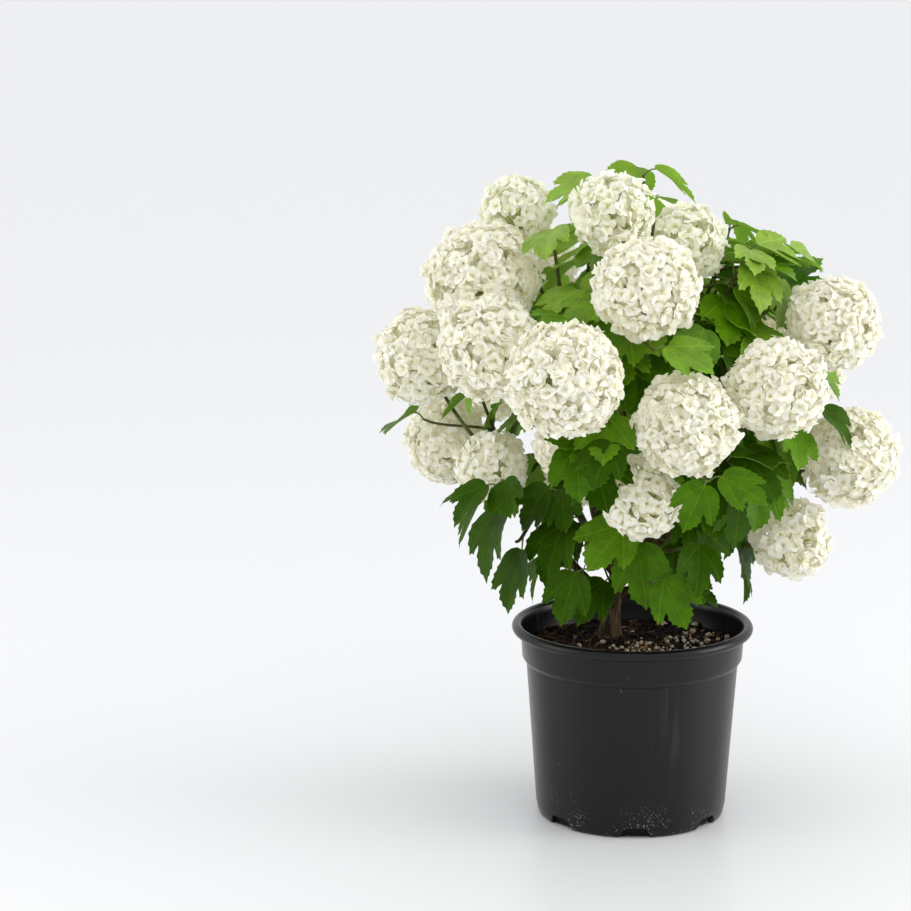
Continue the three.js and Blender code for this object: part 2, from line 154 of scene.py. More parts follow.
def turn_shell(name, rings, sides):
    """A turned shell, drawn up ring by ring from a filled circle."""
    bpy.ops.object.select_all(action="DESELECT")
    radius, height = rings[0]
    bpy.ops.mesh.primitive_circle_add(vertices=sides, radius=radius, fill_type="NGON")
    bpy.context.object.location.z = height
    bpy.ops.object.transform_apply(location=True)
    shell = bpy.context.object
    shell.name = name
    bpy.ops.object.mode_set(mode="EDIT")
    for next_radius, next_height in rings[1:]:
        lift = {"value": (0, 0, next_height - height)}
        bpy.ops.mesh.extrude_region_move(TRANSFORM_OT_translate=lift)
        widen = next_radius / radius
        bpy.ops.transform.resize(value=(widen, widen, 1), center_override=(0, 0, 0))
        radius, height = next_radius, next_height
    bpy.ops.mesh.select_all(action="SELECT")
    bpy.ops.mesh.normals_make_consistent(inside=False)
    bpy.ops.object.mode_set(mode="OBJECT")
    return shell


def slot_cutter():
    """One tool for all the drain slots: a rounded block, narrower at its top, copied round the foot."""
    bpy.ops.object.select_all(action="DESELECT")
    through_heel = (POT_HEEL[0] - SLOT_SIZE[0] / 4, 0, 0)
    bpy.ops.mesh.primitive_cube_add(size=1, location=through_heel, scale=SLOT_SIZE)
    bpy.ops.object.transform_apply(location=True, scale=True)
    block = bpy.context.object
    for corner in block.data.vertices:
        corner.co.y *= 1 - math.copysign(SLOT_TAPER, corner.co.z)
    rounding = block.modifiers.new("rounding", "BEVEL")
    rounding.width = SLOT_ROUNDING
    rounding.segments = 3
    bpy.ops.object.modifier_apply(modifier=rounding.name)
    cutters = []
    for i in range(SLOTS):
        cutter = block.copy()
        cutter.data = block.data.copy()
        cutter.data.transform(Matrix.Rotation(-math.pi / 2 + i * 2 * math.pi / SLOTS, 4, "Z"))
        bpy.context.scene.collection.objects.link(cutter)
        cutter.select_set(True)
        cutters.append(cutter)
    bpy.data.objects.remove(block)
    bpy.context.view_layer.objects.active = cutters[0]
    bpy.ops.object.join()
    return cutters[0]


class Value:
    """A socket in a material. Arithmetic on it adds Math nodes."""

    def __init__(self, socket):
        self.socket = socket

    def node(self, kind, settings=None, inputs=None, output=0):
        """A new node of that type, with its settings and its sockets' values or links."""
        tree = self.socket.id_data
        made = tree.nodes.new(kind)
        for name, setting in (settings or {}).items():
            setattr(made, name, setting)
        for name, value in (inputs or {}).items():
            if isinstance(value, Value):
                tree.links.new(value.socket, made.inputs[name])
            else:
                made.inputs[name].default_value = value
        return Value(made.outputs[output])

    def math(self, operation, other=0.0):
        """A Math node's answer for this value and another one."""
        return self.node("ShaderNodeMath", {"operation": operation}, {0: self, 1: other})

    def __add__(self, other):
        return self.math("ADD", other)

    def __mul__(self, other):
        return self.math("MULTIPLY", other)

    def __sub__(self, other):
        return self.math("SUBTRACT", other)

    def __rsub__(self, other):
        return self * -1 + other

    __radd__ = __add__
    __rmul__ = __mul__

    def ramp(self, low, high):
        """0 below low, 1 above high, and smooth between."""
        ends = {"From Min": low, "From Max": high, "Value": self}
        return self.node("ShaderNodeMapRange", {"interpolation_type": "SMOOTHSTEP"}, ends)

    def noise(self, scale, detail=2.0, stretch=(1, 1, 1)):
        """Cloudy noise over a place, about 0 to 1, finer as scale grows, and drawn out along an axis."""
        spread = self.node("ShaderNodeVectorMath", {"operation": "MULTIPLY"}, {0: self, 1: stretch})
        return self.node("ShaderNodeTexNoise", {}, {"Vector": spread, "Scale": scale, "Detail": detail})

    def part(self, axis):
        """One coordinate of a place: 0, 1 or 2."""
        return self.node("ShaderNodeSeparateXYZ", {}, {0: self}, axis)

    def spots(self, scale, solid, gone):
        """Round spots over a place, about scale to the metre: 1 within solid of each middle, 0 past gone."""
        return 1 - self.node("ShaderNodeTexVoronoi", {}, {"Vector": self, "Scale": scale}).ramp(solid, gone)

    def blend(self, colour, other):
        """A colour where this value is 0, and the other one where it is 1."""
        return self.node("ShaderNodeMix", {"data_type": "RGBA"}, {0: self, 6: colour, 7: other}, 2)

    def bump(self, distance, strength=1.0):
        """A normal that raises the surface by distance where this value is 1."""
        return self.node("ShaderNodeBump", {}, {"Height": self, "Distance": distance, "Strength": strength})


def colour(*channels):
    """A screen colour, 0 to 255 a channel, as the light it stands for."""
    shares = [channel / 255 for channel in channels]
    linear = [c / 12.92 if c <= 0.04045 else ((c + 0.055) / 1.055) ** 2.4 for c in shares]
    return (*linear, 1.0)


def shaded(tint, share):
    """The same colour with less light."""
    return (*(channel * share for channel in tint[:3]), 1.0)


def new_finish(name, roughness, **constants):
    """A new material: its Principled shader, and the place on the piece as a value."""
    material = bpy.data.materials.new(name)
    material.use_nodes = True
    shader = material.node_tree.nodes["Principled BSDF"]
    shader.inputs["Roughness"].default_value = roughness
    for socket, value in constants.items():
        shader.inputs[socket.replace("_", " ")].default_value = value
    place = Value(material.node_tree.nodes.new("ShaderNodeTexCoord").outputs["Object"])
    return material, shader, place


def feed(shader, **values):
    """Links values to a shader's sockets."""
    for socket, value in values.items():
        shader.id_data.links.new(value.socket, shader.inputs[socket.replace("_", " ")])


def pot_plastic():
    """Satin black with a bloom on it: scuffs up its wall, and specks of dried soil, most near the foot."""
    material, shader, place = new_finish("pot_plastic", 0.3, Specular_IOR_Level=0.3)
    near_foot = 1 - place.part(2).ramp(0.0, 45 * MM)
    drift = place.noise(26.0, 3.0).ramp(0.66, 0.8)
    patch = place.noise(40.0, 3.0).ramp(0.45, 0.62)
    flecks = place.spots(170.0, 0.1, 0.2) * drift
    crumbs = place.spots(440.0, 0.14, 0.3) * near_foot * patch
    dust = flecks * 0.4 + crumbs * 0.65
    film = place.noise(9.0, 4.0, (1, 1, 0.5)).ramp(0.35, 0.8)
    scuff = place.noise(60.0, 3.0, (1, 1, 0.08)).ramp(0.62, 0.8)
    black = film.blend(colour(7, 7, 10), colour(13, 13, 16))
    scuffed = (scuff * 0.3).blend(black, colour(60, 60, 62))
    feed(shader, Base_Color=dust.blend(scuffed, colour(190, 182, 166)))
    feed(shader, Roughness=0.27 + 0.1 * film + 0.1 * scuff + 0.4 * dust)
    grain = place.noise(1400.0, 2.0)
    wave = place.noise(14.0, 1.0)
    feed(shader, Normal=(grain * 0.06 + wave * 0.6).bump(0.5 * MM, 0.5))
    return material


def smooth(piece, degrees):
    """Smooth shading, with a crease wherever the surface turns by more than that."""
    bpy.ops.object.select_all(action="DESELECT")
    piece.select_set(True)
    bpy.context.view_layer.objects.active = piece
    bpy.ops.object.shade_smooth_by_angle(angle=math.radians(degrees))


pot = turn_shell("pot_shell", pot_profile(), POT_SIDES)
cutter = slot_cutter()
slots = pot.modifiers.new("slots", "BOOLEAN")
slots.operation = "DIFFERENCE"
slots.object = cutter
bpy.context.view_layer.objects.active = pot
bpy.ops.object.modifier_apply(modifier=slots.name)
bpy.data.objects.remove(cutter)
smooth(pot, POT_CREASE)
pot.data.materials.append(pot_plastic())
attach(pot, "root")
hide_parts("pot")


# ------------------------------------------------------------------ soil
# A damp mix of dark peat and composted bark, lightened with perlite. It fills the pot to below the rim.
# The loose top is crumbs, shreds of bark and pale grains, lying as they were watered in.
SOIL_LEVEL = 166 * MM
SOIL_EDGE_DROP = 4 * MM
SOIL_LEVEL_RADIUS = 34 * MM
SOIL_RADIUS = POT_BAND[0] - POT_WALL - 0.3 * MM
# The lumps lie on it mostly small, knobbly and tipped this way and that, in radians.
MOSTLY_SMALL = 2.2
LUMP_KNOBS = 0.16
LUMP_LEAN = 0.35


def mesh_of(name, points, corners, materials, material_of=None):
    """A mesh object from an array of points and an array of triangles."""
    data = bpy.data.meshes.new(name)
    data.vertices.add(len(points))
    data.vertices.foreach_set("co", np.asarray(points, np.float32).ravel())
    data.loops.add(corners.size)
    data.loops.foreach_set("vertex_index", np.asarray(corners, np.int32).ravel())
    data.polygons.add(len(corners))
    data.polygons.foreach_set("loop_start", np.arange(0, corners.size, 3, dtype=np.int32))
    if material_of is not None:
        data.polygons.foreach_set("material_index", np.asarray(material_of, np.int32))
    data.update(calc_edges=True)
    data.validate()
    for material in materials:
        data.materials.append(material)
    piece = bpy.data.objects.new(name, data)
    bpy.context.scene.collection.objects.link(piece)
    return piece


def repeated(copies, triangles):
    """Triangles for copies of one shape that follow each other in an array: (copies, points, 3)."""
    count, size = copies.shape[:2]
    offsets = np.arange(count)[:, None, None] * size
    return copies.reshape(-1, 3), (triangles[None] + offsets).reshape(-1, 3)


def ball_template(subdivisions):
    """The points and triangles of a unit ball of even triangles."""
    bpy.ops.object.select_all(action="DESELECT")
    bpy.ops.mesh.primitive_ico_sphere_add(subdivisions=subdivisions, radius=1)
    ball = bpy.context.object
    points = np.array([v.co for v in ball.data.vertices])
    triangles = np.array([p.vertices[:] for p in ball.data.polygons])
    bpy.data.objects.remove(ball)
    return points, triangles


def soil_height(radius):
    """The height of the packed soil at a distance from the pot's axis."""
    share = np.clip((radius - SOIL_LEVEL_RADIUS) / (SOIL_RADIUS - SOIL_LEVEL_RADIUS), 0, 1)
    return SOIL_LEVEL - SOIL_EDGE_DROP * share


def scatter(name, count, sizes, flatness, raised, seed, material, gathered=None):
    """Loose lumps over the soil: sizes holds their least and most half length, and flatness their width
    and thickness in shares of it. Raised is how far their middles stand over the soil, in thicknesses.
    Gathered is the azimuth that most of them lie towards, and their spread about it, in degrees."""
    draw = np.random.default_rng(seed)
    template, triangles = ball_template(1)
    radius = (SOIL_RADIUS - sizes[1] * 0.8) * np.sqrt(draw.random(count))
    angle = draw.random(count) * 2 * math.pi
    if gathered is not None:
        angle = math.radians(gathered[0]) + draw.normal(0, math.radians(gathered[1]), count)
    half = sizes[0] + (sizes[1] - sizes[0]) * draw.random(count) ** MOSTLY_SMALL
    shape = np.stack([half, half * flatness[0], half * flatness[1]], 1)
    knobs = 1 + draw.normal(0, LUMP_KNOBS, (count, len(template), 1))
    turns = [Matrix.Rotation(a, 3, "Z") for a in draw.random(count) * 2 * math.pi]
    leans = [Matrix.Rotation(a, 3, "X") @ Matrix.Rotation(b, 3, "Y")
             for a, b in draw.normal(0, LUMP_LEAN, (count, 2))]
    attitudes = np.array([turn @ lean for turn, lean in zip(turns, leans)])
    lumps = np.einsum("nij,nkj->nki", attitudes, template[None] * knobs * shape[:, None])
    height = soil_height(radius) + shape[:, 2] * raised
    places = np.stack([radius * np.cos(angle), radius * np.sin(angle), height], 1)
    points, corners = repeated(lumps + places[:, None], triangles)
    piece = mesh_of(name, points, corners, [material])
    smooth(piece, 50)
    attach(piece, "root")


def grainy_finish(name, dark, light, roughness, scale):
    """Something crumbly: two shades in fine blotches, on a rough surface."""
    material, shader, place = new_finish(name, roughness, Specular_IOR_Level=0.25)
    blotch = place.noise(scale, 3.0).ramp(0.35, 0.65)
    feed(shader, Base_Color=blotch.blend(dark, light))
    feed(shader, Normal=place.noise(scale * 3, 3.0).bump(0.6 * MM, 0.8))
    return material


packed_soil = grainy_finish("packed_soil", colour(12, 9, 7), colour(34, 24, 17), 0.95, 420.0)
frame["nodes"]["potting_soil"].data.materials.clear()
frame["nodes"]["potting_soil"].data.materials.append(packed_soil)
peat = grainy_finish("peat", colour(12, 9, 7), colour(38, 27, 19), 0.9, 500.0)
bark_shreds = grainy_finish("bark_shreds", colour(44, 26, 14), colour(88, 56, 32), 0.8, 700.0)
chips = grainy_finish("wood_chips", colour(118, 84, 54), colour(176, 136, 96), 0.8, 700.0)
perlite = grainy_finish("perlite", colour(186, 164, 134), colour(236, 226, 208), 0.85, 900.0)
scatter("soil_crumbs", 1500, (1.5 * MM, 4.5 * MM), (0.8, 0.6), raised=0.2, seed=11, material=peat)
scatter("soil_bark", 300, (2 * MM, 9 * MM), (0.35, 0.2), raised=1.4, seed=12,
        material=bark_shreds, gathered=(200, 70))
scatter("soil_perlite", 360, (1.0 * MM, 3.5 * MM), (0.85, 0.75), raised=1.0, seed=13,
        material=perlite, gathered=(-50, 55))
scatter("soil_chips", 230, (1.4 * MM, 3.8 * MM), (0.6, 0.4), raised=1.2, seed=14,
        material=chips, gathered=(-45, 60))


# ------------------------------------------------------------------ trunk and boughs
# A short woody stem with a flared foot, and twelve limbs that leave it one above another.
# The bark is grey-brown with fine lengthwise cracks, and the limbs' younger bark is smoother.
TRUNK_FOOT = Vector((-20 * MM, 22 * MM, SOIL_LEVEL + 0.3 * MM))
TRUNK_TOP = Vector((-3 * MM, 4 * MM, SOIL_LEVEL + 112.3 * MM))
TRUNK_HEIGHT = TRUNK_TOP.z - TRUNK_FOOT.z
TRUNK_ROOT_RADIUS = 13 * MM
TRUNK_RADIUS = 7.8 * MM
TRUNK_TIP_RADIUS = 5.5 * MM
TRUNK_FLARE_SHARE = 0.3
TRUNK_RELIEF = 0.9 * MM
BOUGH_ROOT_RADIUS = 4.4 * MM
BOUGH_TIP_RADIUS = 3.4 * MM
BOUGH_RELIEF = 0.35 * MM
BOUGH_SHARE = 0.5
BARK_CREASE = 60
UP = Vector((0, 0, 1))

# The crown, mass by mass: the height on the trunk where its bough leaves, then each head of blossom as
# azimuth in degrees from +X, height, reach from the axis and diameter in millimetres, and each leafy sprig
# as azimuth, height and reach.
CROWN = {
    "front_left": (230, [(250, 459, 210, 103), (222, 473, 185, 94), (232, 375, 108, 53)],
                   [(234, 331, 78), (262, 398, 170)]),
    "front_low": (198, [(270, 338, 125, 76)],
                  [(244, 262, 105), (276, 252, 108), (299, 288, 108), (226, 290, 66), (313, 298, 58),
                   (220, 326, 92)]),
    "front_right": (219, [(282, 414, 177, 92), (310, 441, 185, 89)],
                    [(304, 340, 104), (279, 437, 102), (326, 480, 112)]),
    "right": (234, [(341, 487, 188, 86), (348, 357, 203, 91), (18, 420, 170, 78)],
              [(347, 436, 140), (330, 395, 160)]),
    "right_low": (207, [(346, 277, 151, 73)],
                  [(349, 323, 118), (343, 284, 106), (20, 300, 130)]),
    "top_front": (254, [(270.5, 532, 147, 93), (251, 592, 85, 75)],
                  [(238, 505, 124), (280, 588, 71)]),
    "top_right": (260, [(311, 559, 67, 70), (80, 535, 117, 86)],
                  [(0, 565, 86), (331, 551, 112), (5, 493, 131), (30, 540, 110), (40, 615, 7)]),
    "top_left": (243, [(193, 522, 148, 107), (166, 577, 114, 68)],
                 [(205, 566, 88), (225, 609, 45), (193, 548, 46), (150, 540, 130)]),
    "left": (203, [(188.5, 344, 135, 64), (171.5, 440, 202, 90), (157, 350, 190, 84)],
             [(209, 335, 146), (214, 284, 136), (165, 400, 150)]),
    "back_left": (226, [(124, 505, 169, 92), (128, 400, 192, 90)],
                  [(140, 455, 190), (145, 330, 160)]),
    "back": (212, [(99, 440, 187, 96), (115, 310, 130, 78)],
             [(90, 360, 175), (85, 280, 130), (100, 520, 130)]),
    "back_right": (247, [(45, 440, 190, 90), (71, 365, 180, 84)],
                   [(50, 350, 170), (60, 490, 160), (40, 285, 130)]),
}


class Path:
    """A smooth curve from one point to another, with two points that draw it off the straight."""

    def __init__(self, *controls):
        self.controls = np.array(controls, float)
        self.shares = np.linspace(0, 1, 201)
        steps = np.linalg.norm(np.diff(self.at(self.shares), axis=0), axis=1)
        self.run = np.concatenate([[0], np.cumsum(steps)])
        self.length = self.run[-1]

    def at(self, t):
        """The point, or points, at the curve's own parameter from 0 to 1."""
        t = np.asarray(t, float)[..., None]
        a, b, c, d = self.controls
        return a * (1 - t) ** 3 + 3 * b * (1 - t) ** 2 * t + 3 * c * (1 - t) * t**2 + d * t**3

    def slope(self, t):
        """The direction there."""
        t = np.asarray(t, float)[..., None]
        a, b, c, d = self.controls
        slope = (b - a) * (1 - t) ** 2 + 2 * (c - b) * (1 - t) * t + (d - c) * t**2
        return slope / np.linalg.norm(slope, axis=-1, keepdims=True)

    def parameter(self, share):
        """The curve's own parameter at a share of the length."""
        return np.interp(np.asarray(share) * self.length, self.run, self.shares)

    def point(self, share):
        """The point at a share of the length."""
        return Vector(self.at(self.parameter(share)))

    def tangent(self, share):
        """The direction at a share of the length."""
        return Vector(self.slope(self.parameter(share)))


def lerp(a, b, share):
    """The value at a share of the way from one to another."""
    return a + (b - a) * share


def polar(azimuth, height, reach):
    """A point from its azimuth in degrees, and its height and reach in millimetres."""
    angle = math.radians(azimuth)
    return Vector((reach * math.cos(angle), reach * math.sin(angle), height)) * MM


def outward(point):
    """The level direction from the pot's axis out to a point."""
    return Vector((point.x, point.y, 0)).normalized()


trunk_path = Path(
    TRUNK_FOOT,
    TRUNK_FOOT + UP * TRUNK_HEIGHT * 0.3,
    TRUNK_TOP + Vector((-6 * MM, 5 * MM, -TRUNK_HEIGHT * 0.3)),
    TRUNK_TOP,
)


def trunk_radius(share):
    """A root flare at the foot, then a slow taper to the tip."""
    flare = (TRUNK_ROOT_RADIUS - TRUNK_RADIUS) * np.maximum(0, 1 - share / TRUNK_FLARE_SHARE) ** 2
    return lerp(TRUNK_RADIUS, TRUNK_TIP_RADIUS, share) + flare


def bough_radius(share):
    """An even taper, from the fork to the tip."""
    return lerp(BOUGH_ROOT_RADIUS, BOUGH_TIP_RADIUS, share)


def mass_centre(heads, sprigs):
    """The middle of everything that a mass carries."""
    places = [polar(*item[:3]) for item in [*heads, *sprigs]]
    return sum(places, Vector()) / len(places)


def bough_path(fork, heads, sprigs):
    """A bough arches out of the trunk towards its mass, and stops where the mass begins."""
    root = Vector(trunk_path.at((fork * MM - TRUNK_FOOT.z) / TRUNK_HEIGHT))
    centre = mass_centre(heads, sprigs)
    tip = root.lerp(centre, BOUGH_SHARE)
    length = (tip - root).length
    leaving = outward(centre) * 0.8 + UP * 0.6
    arriving = ((tip - root).normalized() + UP * 0.45).normalized()
    return Path(root, root + leaving * length * 0.3, tip - arriving * length * 0.35, tip)


def grow_limb(name, path, radius_at, rings, sides):
    """A closed limb: a curve with a round section and its own radius at each point, made a mesh."""
    bpy.ops.object.select_all(action="DESELECT")
    line = bpy.data.curves.new(name, "CURVE")
    line.dimensions = "3D"
    line.bevel_depth = 1.0
    line.bevel_resolution = sides // 2 - 2
    line.use_fill_caps = True
    spline = line.splines.new("POLY")
    spline.points.add(rings)
    for i, point in enumerate(spline.points):
        share = i / rings
        point.co = (*path.point(share), 1)
        point.radius = float(radius_at(share))
    limb = bpy.data.objects.new(name, line)
    bpy.context.scene.collection.objects.link(limb)
    limb.select_set(True)
    bpy.context.view_layer.objects.active = limb
    bpy.ops.object.convert(target="MESH")
    bpy.ops.object.mode_set(mode="EDIT")
    bpy.ops.mesh.select_all(action="SELECT")
    bpy.ops.mesh.remove_doubles(threshold=0.01 * MM)
    bpy.ops.mesh.normals_make_consistent(inside=False)
    bpy.ops.object.mode_set(mode="OBJECT")
    return bpy.context.object


def add_bark_relief(limb, depth):
    """Fine cracks along the limb, and a slow unevenness round it."""
    for vertex in limb.data.vertices:
        x, y, z = vertex.co
        cracks = noise.noise(Vector((x * 420, y * 420, z * 70)))
        knobs = noise.noise(Vector((x, y, z)) * 90)
        vertex.co += vertex.normal * depth * (cracks + 0.8 * knobs)


def bark(name, dark, light, crack_scale, relief):
    """Bark: light plates on dark cracks that run up the limb, and pale pores."""
    material, shader, place = new_finish(name, 0.85, Specular_IOR_Level=0.3)
    cracks = place.noise(crack_scale, 4.0, (1, 1, 0.16))
    plates = cracks.ramp(0.4, 0.62)
    blotch = place.noise(45.0, 2.0).ramp(0.35, 0.7)
    pores = place.spots(420.0, 0.1, 0.2)
    shade = (plates * 0.8 + blotch * 0.2).blend(dark, light)
    feed(shader, Base_Color=(pores * 0.35).blend(shade, colour(168, 146, 112)))
    feed(shader, Normal=(plates * 0.8 + pores * 0.3).bump(relief, 0.9))
    return material


trunk_bark = bark("trunk_bark", colour(46, 32, 22), colour(118, 94, 68), 260.0, 1.2 * MM)
trunk = grow_limb("trunk_wood", trunk_path, trunk_radius, rings=70, sides=28)
add_bark_relief(trunk, TRUNK_RELIEF)
smooth(trunk, BARK_CREASE)
trunk.data.materials.append(trunk_bark)
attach(trunk, "root")
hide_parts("trunk")

young_bark = bark("young_bark", colour(58, 46, 26), colour(112, 98, 58), 340.0, 0.5 * MM)
bough_paths = {}
for name, plan in CROWN.items():
    bough_paths[name] = bough_path(*plan)
    limb = grow_limb(f"limb_{name}", bough_paths[name], bough_radius, rings=36, sides=16)
    add_bark_relief(limb, BOUGH_RELIEF)
    smooth(limb, BARK_CREASE)
    limb.data.materials.append(young_bark)
    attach(limb, "root")
    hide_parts(f"bough_{name}")


# ------------------------------------------------------------------ shoots
# This year's growth: from each bough's tip a shoot runs to every head of blossom and every leafy sprig,
# with side sprigs on the longer ones, and short spurs stand along the boughs. Each is turned on from the
# last. Young shoots are thin green wood, flushed with red.
STEM_LENGTH = 26 * MM
STEM_SPREAD = 0.8
SHOOT_RADII = (2.5 * MM, 1.5 * MM)
SHOOT_RING = 9 * MM
SIDE_RADII = (1.6 * MM, 1.1 * MM)
SIDE_COUNT = 2
SIDE_SHARES = (0.4, 0.72)
SIDE_CLEAR_OF_HUB = 35 * MM
SIDE_TURN = 2.4
SIDE_LENGTHS = (42 * MM, 70 * MM)
SIDE_LOWEST = 330 * MM
SIDE_FURTHEST = 205 * MM
SPUR_SHARES = (0.25, 0.45, 0.65, 0.85)
SPUR_LENGTHS = (24 * MM, 42 * MM)
SPUR_RADII = (1.2 * MM, 0.8 * MM)
SPUR_FIRST_NUMBER = 60
HEAD_SUNK = 0.3
HEAD_CORE = 0.9
WHOLE = 0xFFFFFFFF


def chance(*keys):
    """A repeatable number from 0 to 1 for any set of whole-number keys."""
    mixed = 2166136261
    for key in keys:
        mixed = ((mixed ^ (key + 374761393)) * 668265263) & WHOLE
        mixed ^= mixed >> 15
    mixed = ((mixed ^ (mixed >> 13)) * 2246822519) & WHOLE
    return (mixed ^ (mixed >> 16)) / (WHOLE + 1)


def turned(vector, axis, angle):
    """A vector turned about an axis."""
    return Matrix.Rotation(angle, 3, axis) @ vector


def shoot_path(start, heading, end, sunk):
    """A shoot leaves its parent at an angle and comes up under its tip."""
    length = (end - start).length
    ahead = (end - start).normalized()
    leaving = (ahead + heading * 0.4 + outward(ahead) * 0.3).normalized()
    arriving = (ahead + UP * 0.35).normalized()
    return Path(
        start,
        start + leaving * length * 0.3,
        end - arriving * (length * 0.3 + sunk),
        end - arriving * sunk,
    )


def mass_shoots(plan, path, mass):
    """Everything that a mass grows from one stem at the tip of its bough, numbered in order."""
    fork, heads, sprigs = plan
    heading = Vector(path.slope(1.0))
    start = Vector(path.at(1.0)) + heading * 0.3 * MM
    stem_end = start + heading * STEM_LENGTH
    stem = Path(start, start.lerp(stem_end, 1 / 3), start.lerp(stem_end, 2 / 3), stem_end)
    shoots = [{"path": stem, "kind": "stem"}]
    count = len(heads) + len(sprigs)
    for azimuth, height, reach, diameter in heads:
        root = stem.point(1 - STEM_SPREAD * (len(shoots) - 1) / count)
        centre = polar(azimuth, height, reach)
        to_head = shoot_path(root, heading, centre, diameter * MM * HEAD_SUNK)
        shoots.append({"path": to_head, "kind": "flowering", "centre": centre, "diameter": diameter * MM})
    for azimuth, height, reach in sprigs:
        root = stem.point(1 - STEM_SPREAD * (len(shoots) - 1) / count)
        shoots.append({"path": shoot_path(root, heading, polar(azimuth, height, reach), 0), "kind": "sprig"})
    for number in range(1, len(shoots)):
        parent = shoots[number]["path"]
        for i in range(SIDE_COUNT):
            share = lerp(*SIDE_SHARES, i / (SIDE_COUNT - 1))
            if share * parent.length < SIDE_CLEAR_OF_HUB:
                continue
            root = parent.point(share)
            tangent = parent.tangent(share)
            turn = (number + i) * SIDE_TURN + chance(mass, number, i)
            across = turned(tangent.cross(outward(root)).normalized(), tangent, turn)
            aim = (across + tangent * 0.7 + outward(root) * 0.5).normalized()
            tip = root + aim * lerp(*SIDE_LENGTHS, chance(mass, number, i, 7))
            if tip.z < SIDE_LOWEST or math.hypot(tip.x, tip.y) > SIDE_FURTHEST:
                continue
            shoots.append({"path": shoot_path(root, tangent, tip, 0), "kind": "side", "parent": number})
    return [{**shoot, "mass": mass, "number": number} for number, shoot in enumerate(shoots)]


def bough_spurs(path, mass):
    """Short leafy spurs along a bough, inside the crown, each turned on from the last."""
    spurs = []
    for i, share in enumerate(SPUR_SHARES):
        root, tangent = path.point(share), path.tangent(share)
        across = turned(tangent.cross(outward(root)).normalized(), tangent, i * SIDE_TURN + mass)
        aim = (across + tangent * 0.4).normalized()
        tip = root + aim * lerp(*SPUR_LENGTHS, chance(mass, i, 9))
        spur = {"path": shoot_path(root, tangent, tip, 0), "kind": "spur"}
        spurs.append({**spur, "mass": mass, "number": SPUR_FIRST_NUMBER + i})
    return spurs


def tube(path, radii, sides, rings):
    """Points and triangles of a closed tube along a path, from one radius to another."""
    shares = np.linspace(0, 1, rings + 1)
    centres = path.at(path.parameter(shares))
    tangents = path.slope(path.parameter(shares))
    # The first ring may start anywhere round the path, and the others start in line with it.
    reference = np.cross(tangents[0], (0.31, 0.17, 0.93))
    across = np.empty_like(tangents)
    for i, tangent in enumerate(tangents):
        reference = reference - tangent * np.dot(reference, tangent)
        reference = reference / np.linalg.norm(reference)
        across[i] = reference
    beside = np.cross(tangents, across)
    angles = (np.arange(sides) * 2 * math.pi / sides)[None, :, None]
    ring = across[:, None] * np.cos(angles) + beside[:, None] * np.sin(angles)
    radius = lerp(*radii, shares)[:, None, None]
    points = np.concatenate([(centres[:, None] + ring * radius).reshape(-1, 3), centres[[0, -1]]])
    start_cap = (rings + 1) * sides
    end_cap = start_cap + 1
    corners = []
    for i in range(sides):
        j = (i + 1) % sides
        corners.append((start_cap, j, i))
        corners.append((end_cap, rings * sides + i, rings * sides + j))
        for k in range(rings):
            a, b, c, d = k * sides + i, k * sides + j, (k + 1) * sides + j, (k + 1) * sides + i
            corners += [(a, b, c), (a, c, d)]
    return points, np.array(corners)


def joined(parts):
    """Several (points, triangles) as one."""
    offsets = np.cumsum([0] + [len(points) for points, _ in parts[:-1]])
    points = np.concatenate([points for points, _ in parts])
    corners = np.concatenate([corners + offset for (_, corners), offset in zip(parts, offsets)])
    return points, corners


def green_shoot(name, dark, light, red):
    """A young stalk: green that turns from shade to shade along it, flushed with red on the sunny side."""
    material, shader, place = new_finish(name, 0.55, Specular_IOR_Level=0.35)
    blotch = place.noise(60.0, 3.0).ramp(0.35, 0.65)
    flush = place.noise(25.0, 2.0).ramp(0.5, 0.75)
    feed(shader, Base_Color=(flush * 0.55).blend(blotch.blend(dark, light), red))
    feed(shader, Normal=place.noise(500.0, 2.0, (1, 1, 0.3)).bump(0.3 * MM, 0.6))
    return material


masses = [mass_shoots(plan, bough_paths[name], mass) for mass, (name, plan) in enumerate(CROWN.items())]
shoots = [shoot for grown_here in masses for shoot in grown_here]
for mass, name in enumerate(CROWN):
    shoots += bough_spurs(bough_paths[name], mass)
heads = [shoot for shoot in shoots if shoot["kind"] == "flowering"]
head_centres = np.array([shoot["centre"] for shoot in heads])
head_radii = np.array([shoot["diameter"] / 2 for shoot in heads])


def in_a_head(points, share):
    """Whether any of the points is inside a head of blossom, within a share of its radius."""
    away = np.linalg.norm(points[:, None] - head_centres[None], axis=2) / head_radii[None]
    return bool((away < share).any())


def has_room(shoot):
    """A sprig is left out where it would run through a head of blossom, as is whatever grows on it."""
    if shoot["kind"] in ("stem", "flowering"):
        return True
    parent = shoot.get("parent")
    if parent is not None and not masses[shoot["mass"]][parent]["grown"]:
        return False
    points = shoot["path"].at(np.linspace(0.1, 1, 12))
    return not in_a_head(points, HEAD_CORE)


for shoot in shoots:
    shoot["grown"] = has_room(shoot)
shoots = [shoot for shoot in shoots if shoot["grown"]]


def join_crown(name, points, corners, finishes, crease, plan=None, finish_of=None):
    """One kind of thing all over the crown as one piece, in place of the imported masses.
    Plan is where the points of each copy lie on a flat blade or petal, for its finish to follow."""
    piece = mesh_of(name, points, corners, finishes, finish_of)
    if plan is not None:
        spread = np.tile(plan, (len(points) // len(plan), 1))[corners.ravel()]
        piece.data.uv_layers.new(name="plan").data.foreach_set("uv", spread.astype(np.float32).ravel())
    smooth(piece, crease)
    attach(piece, "root")
    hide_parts(*(f"foliage_{mass_name}" for mass_name in CROWN))


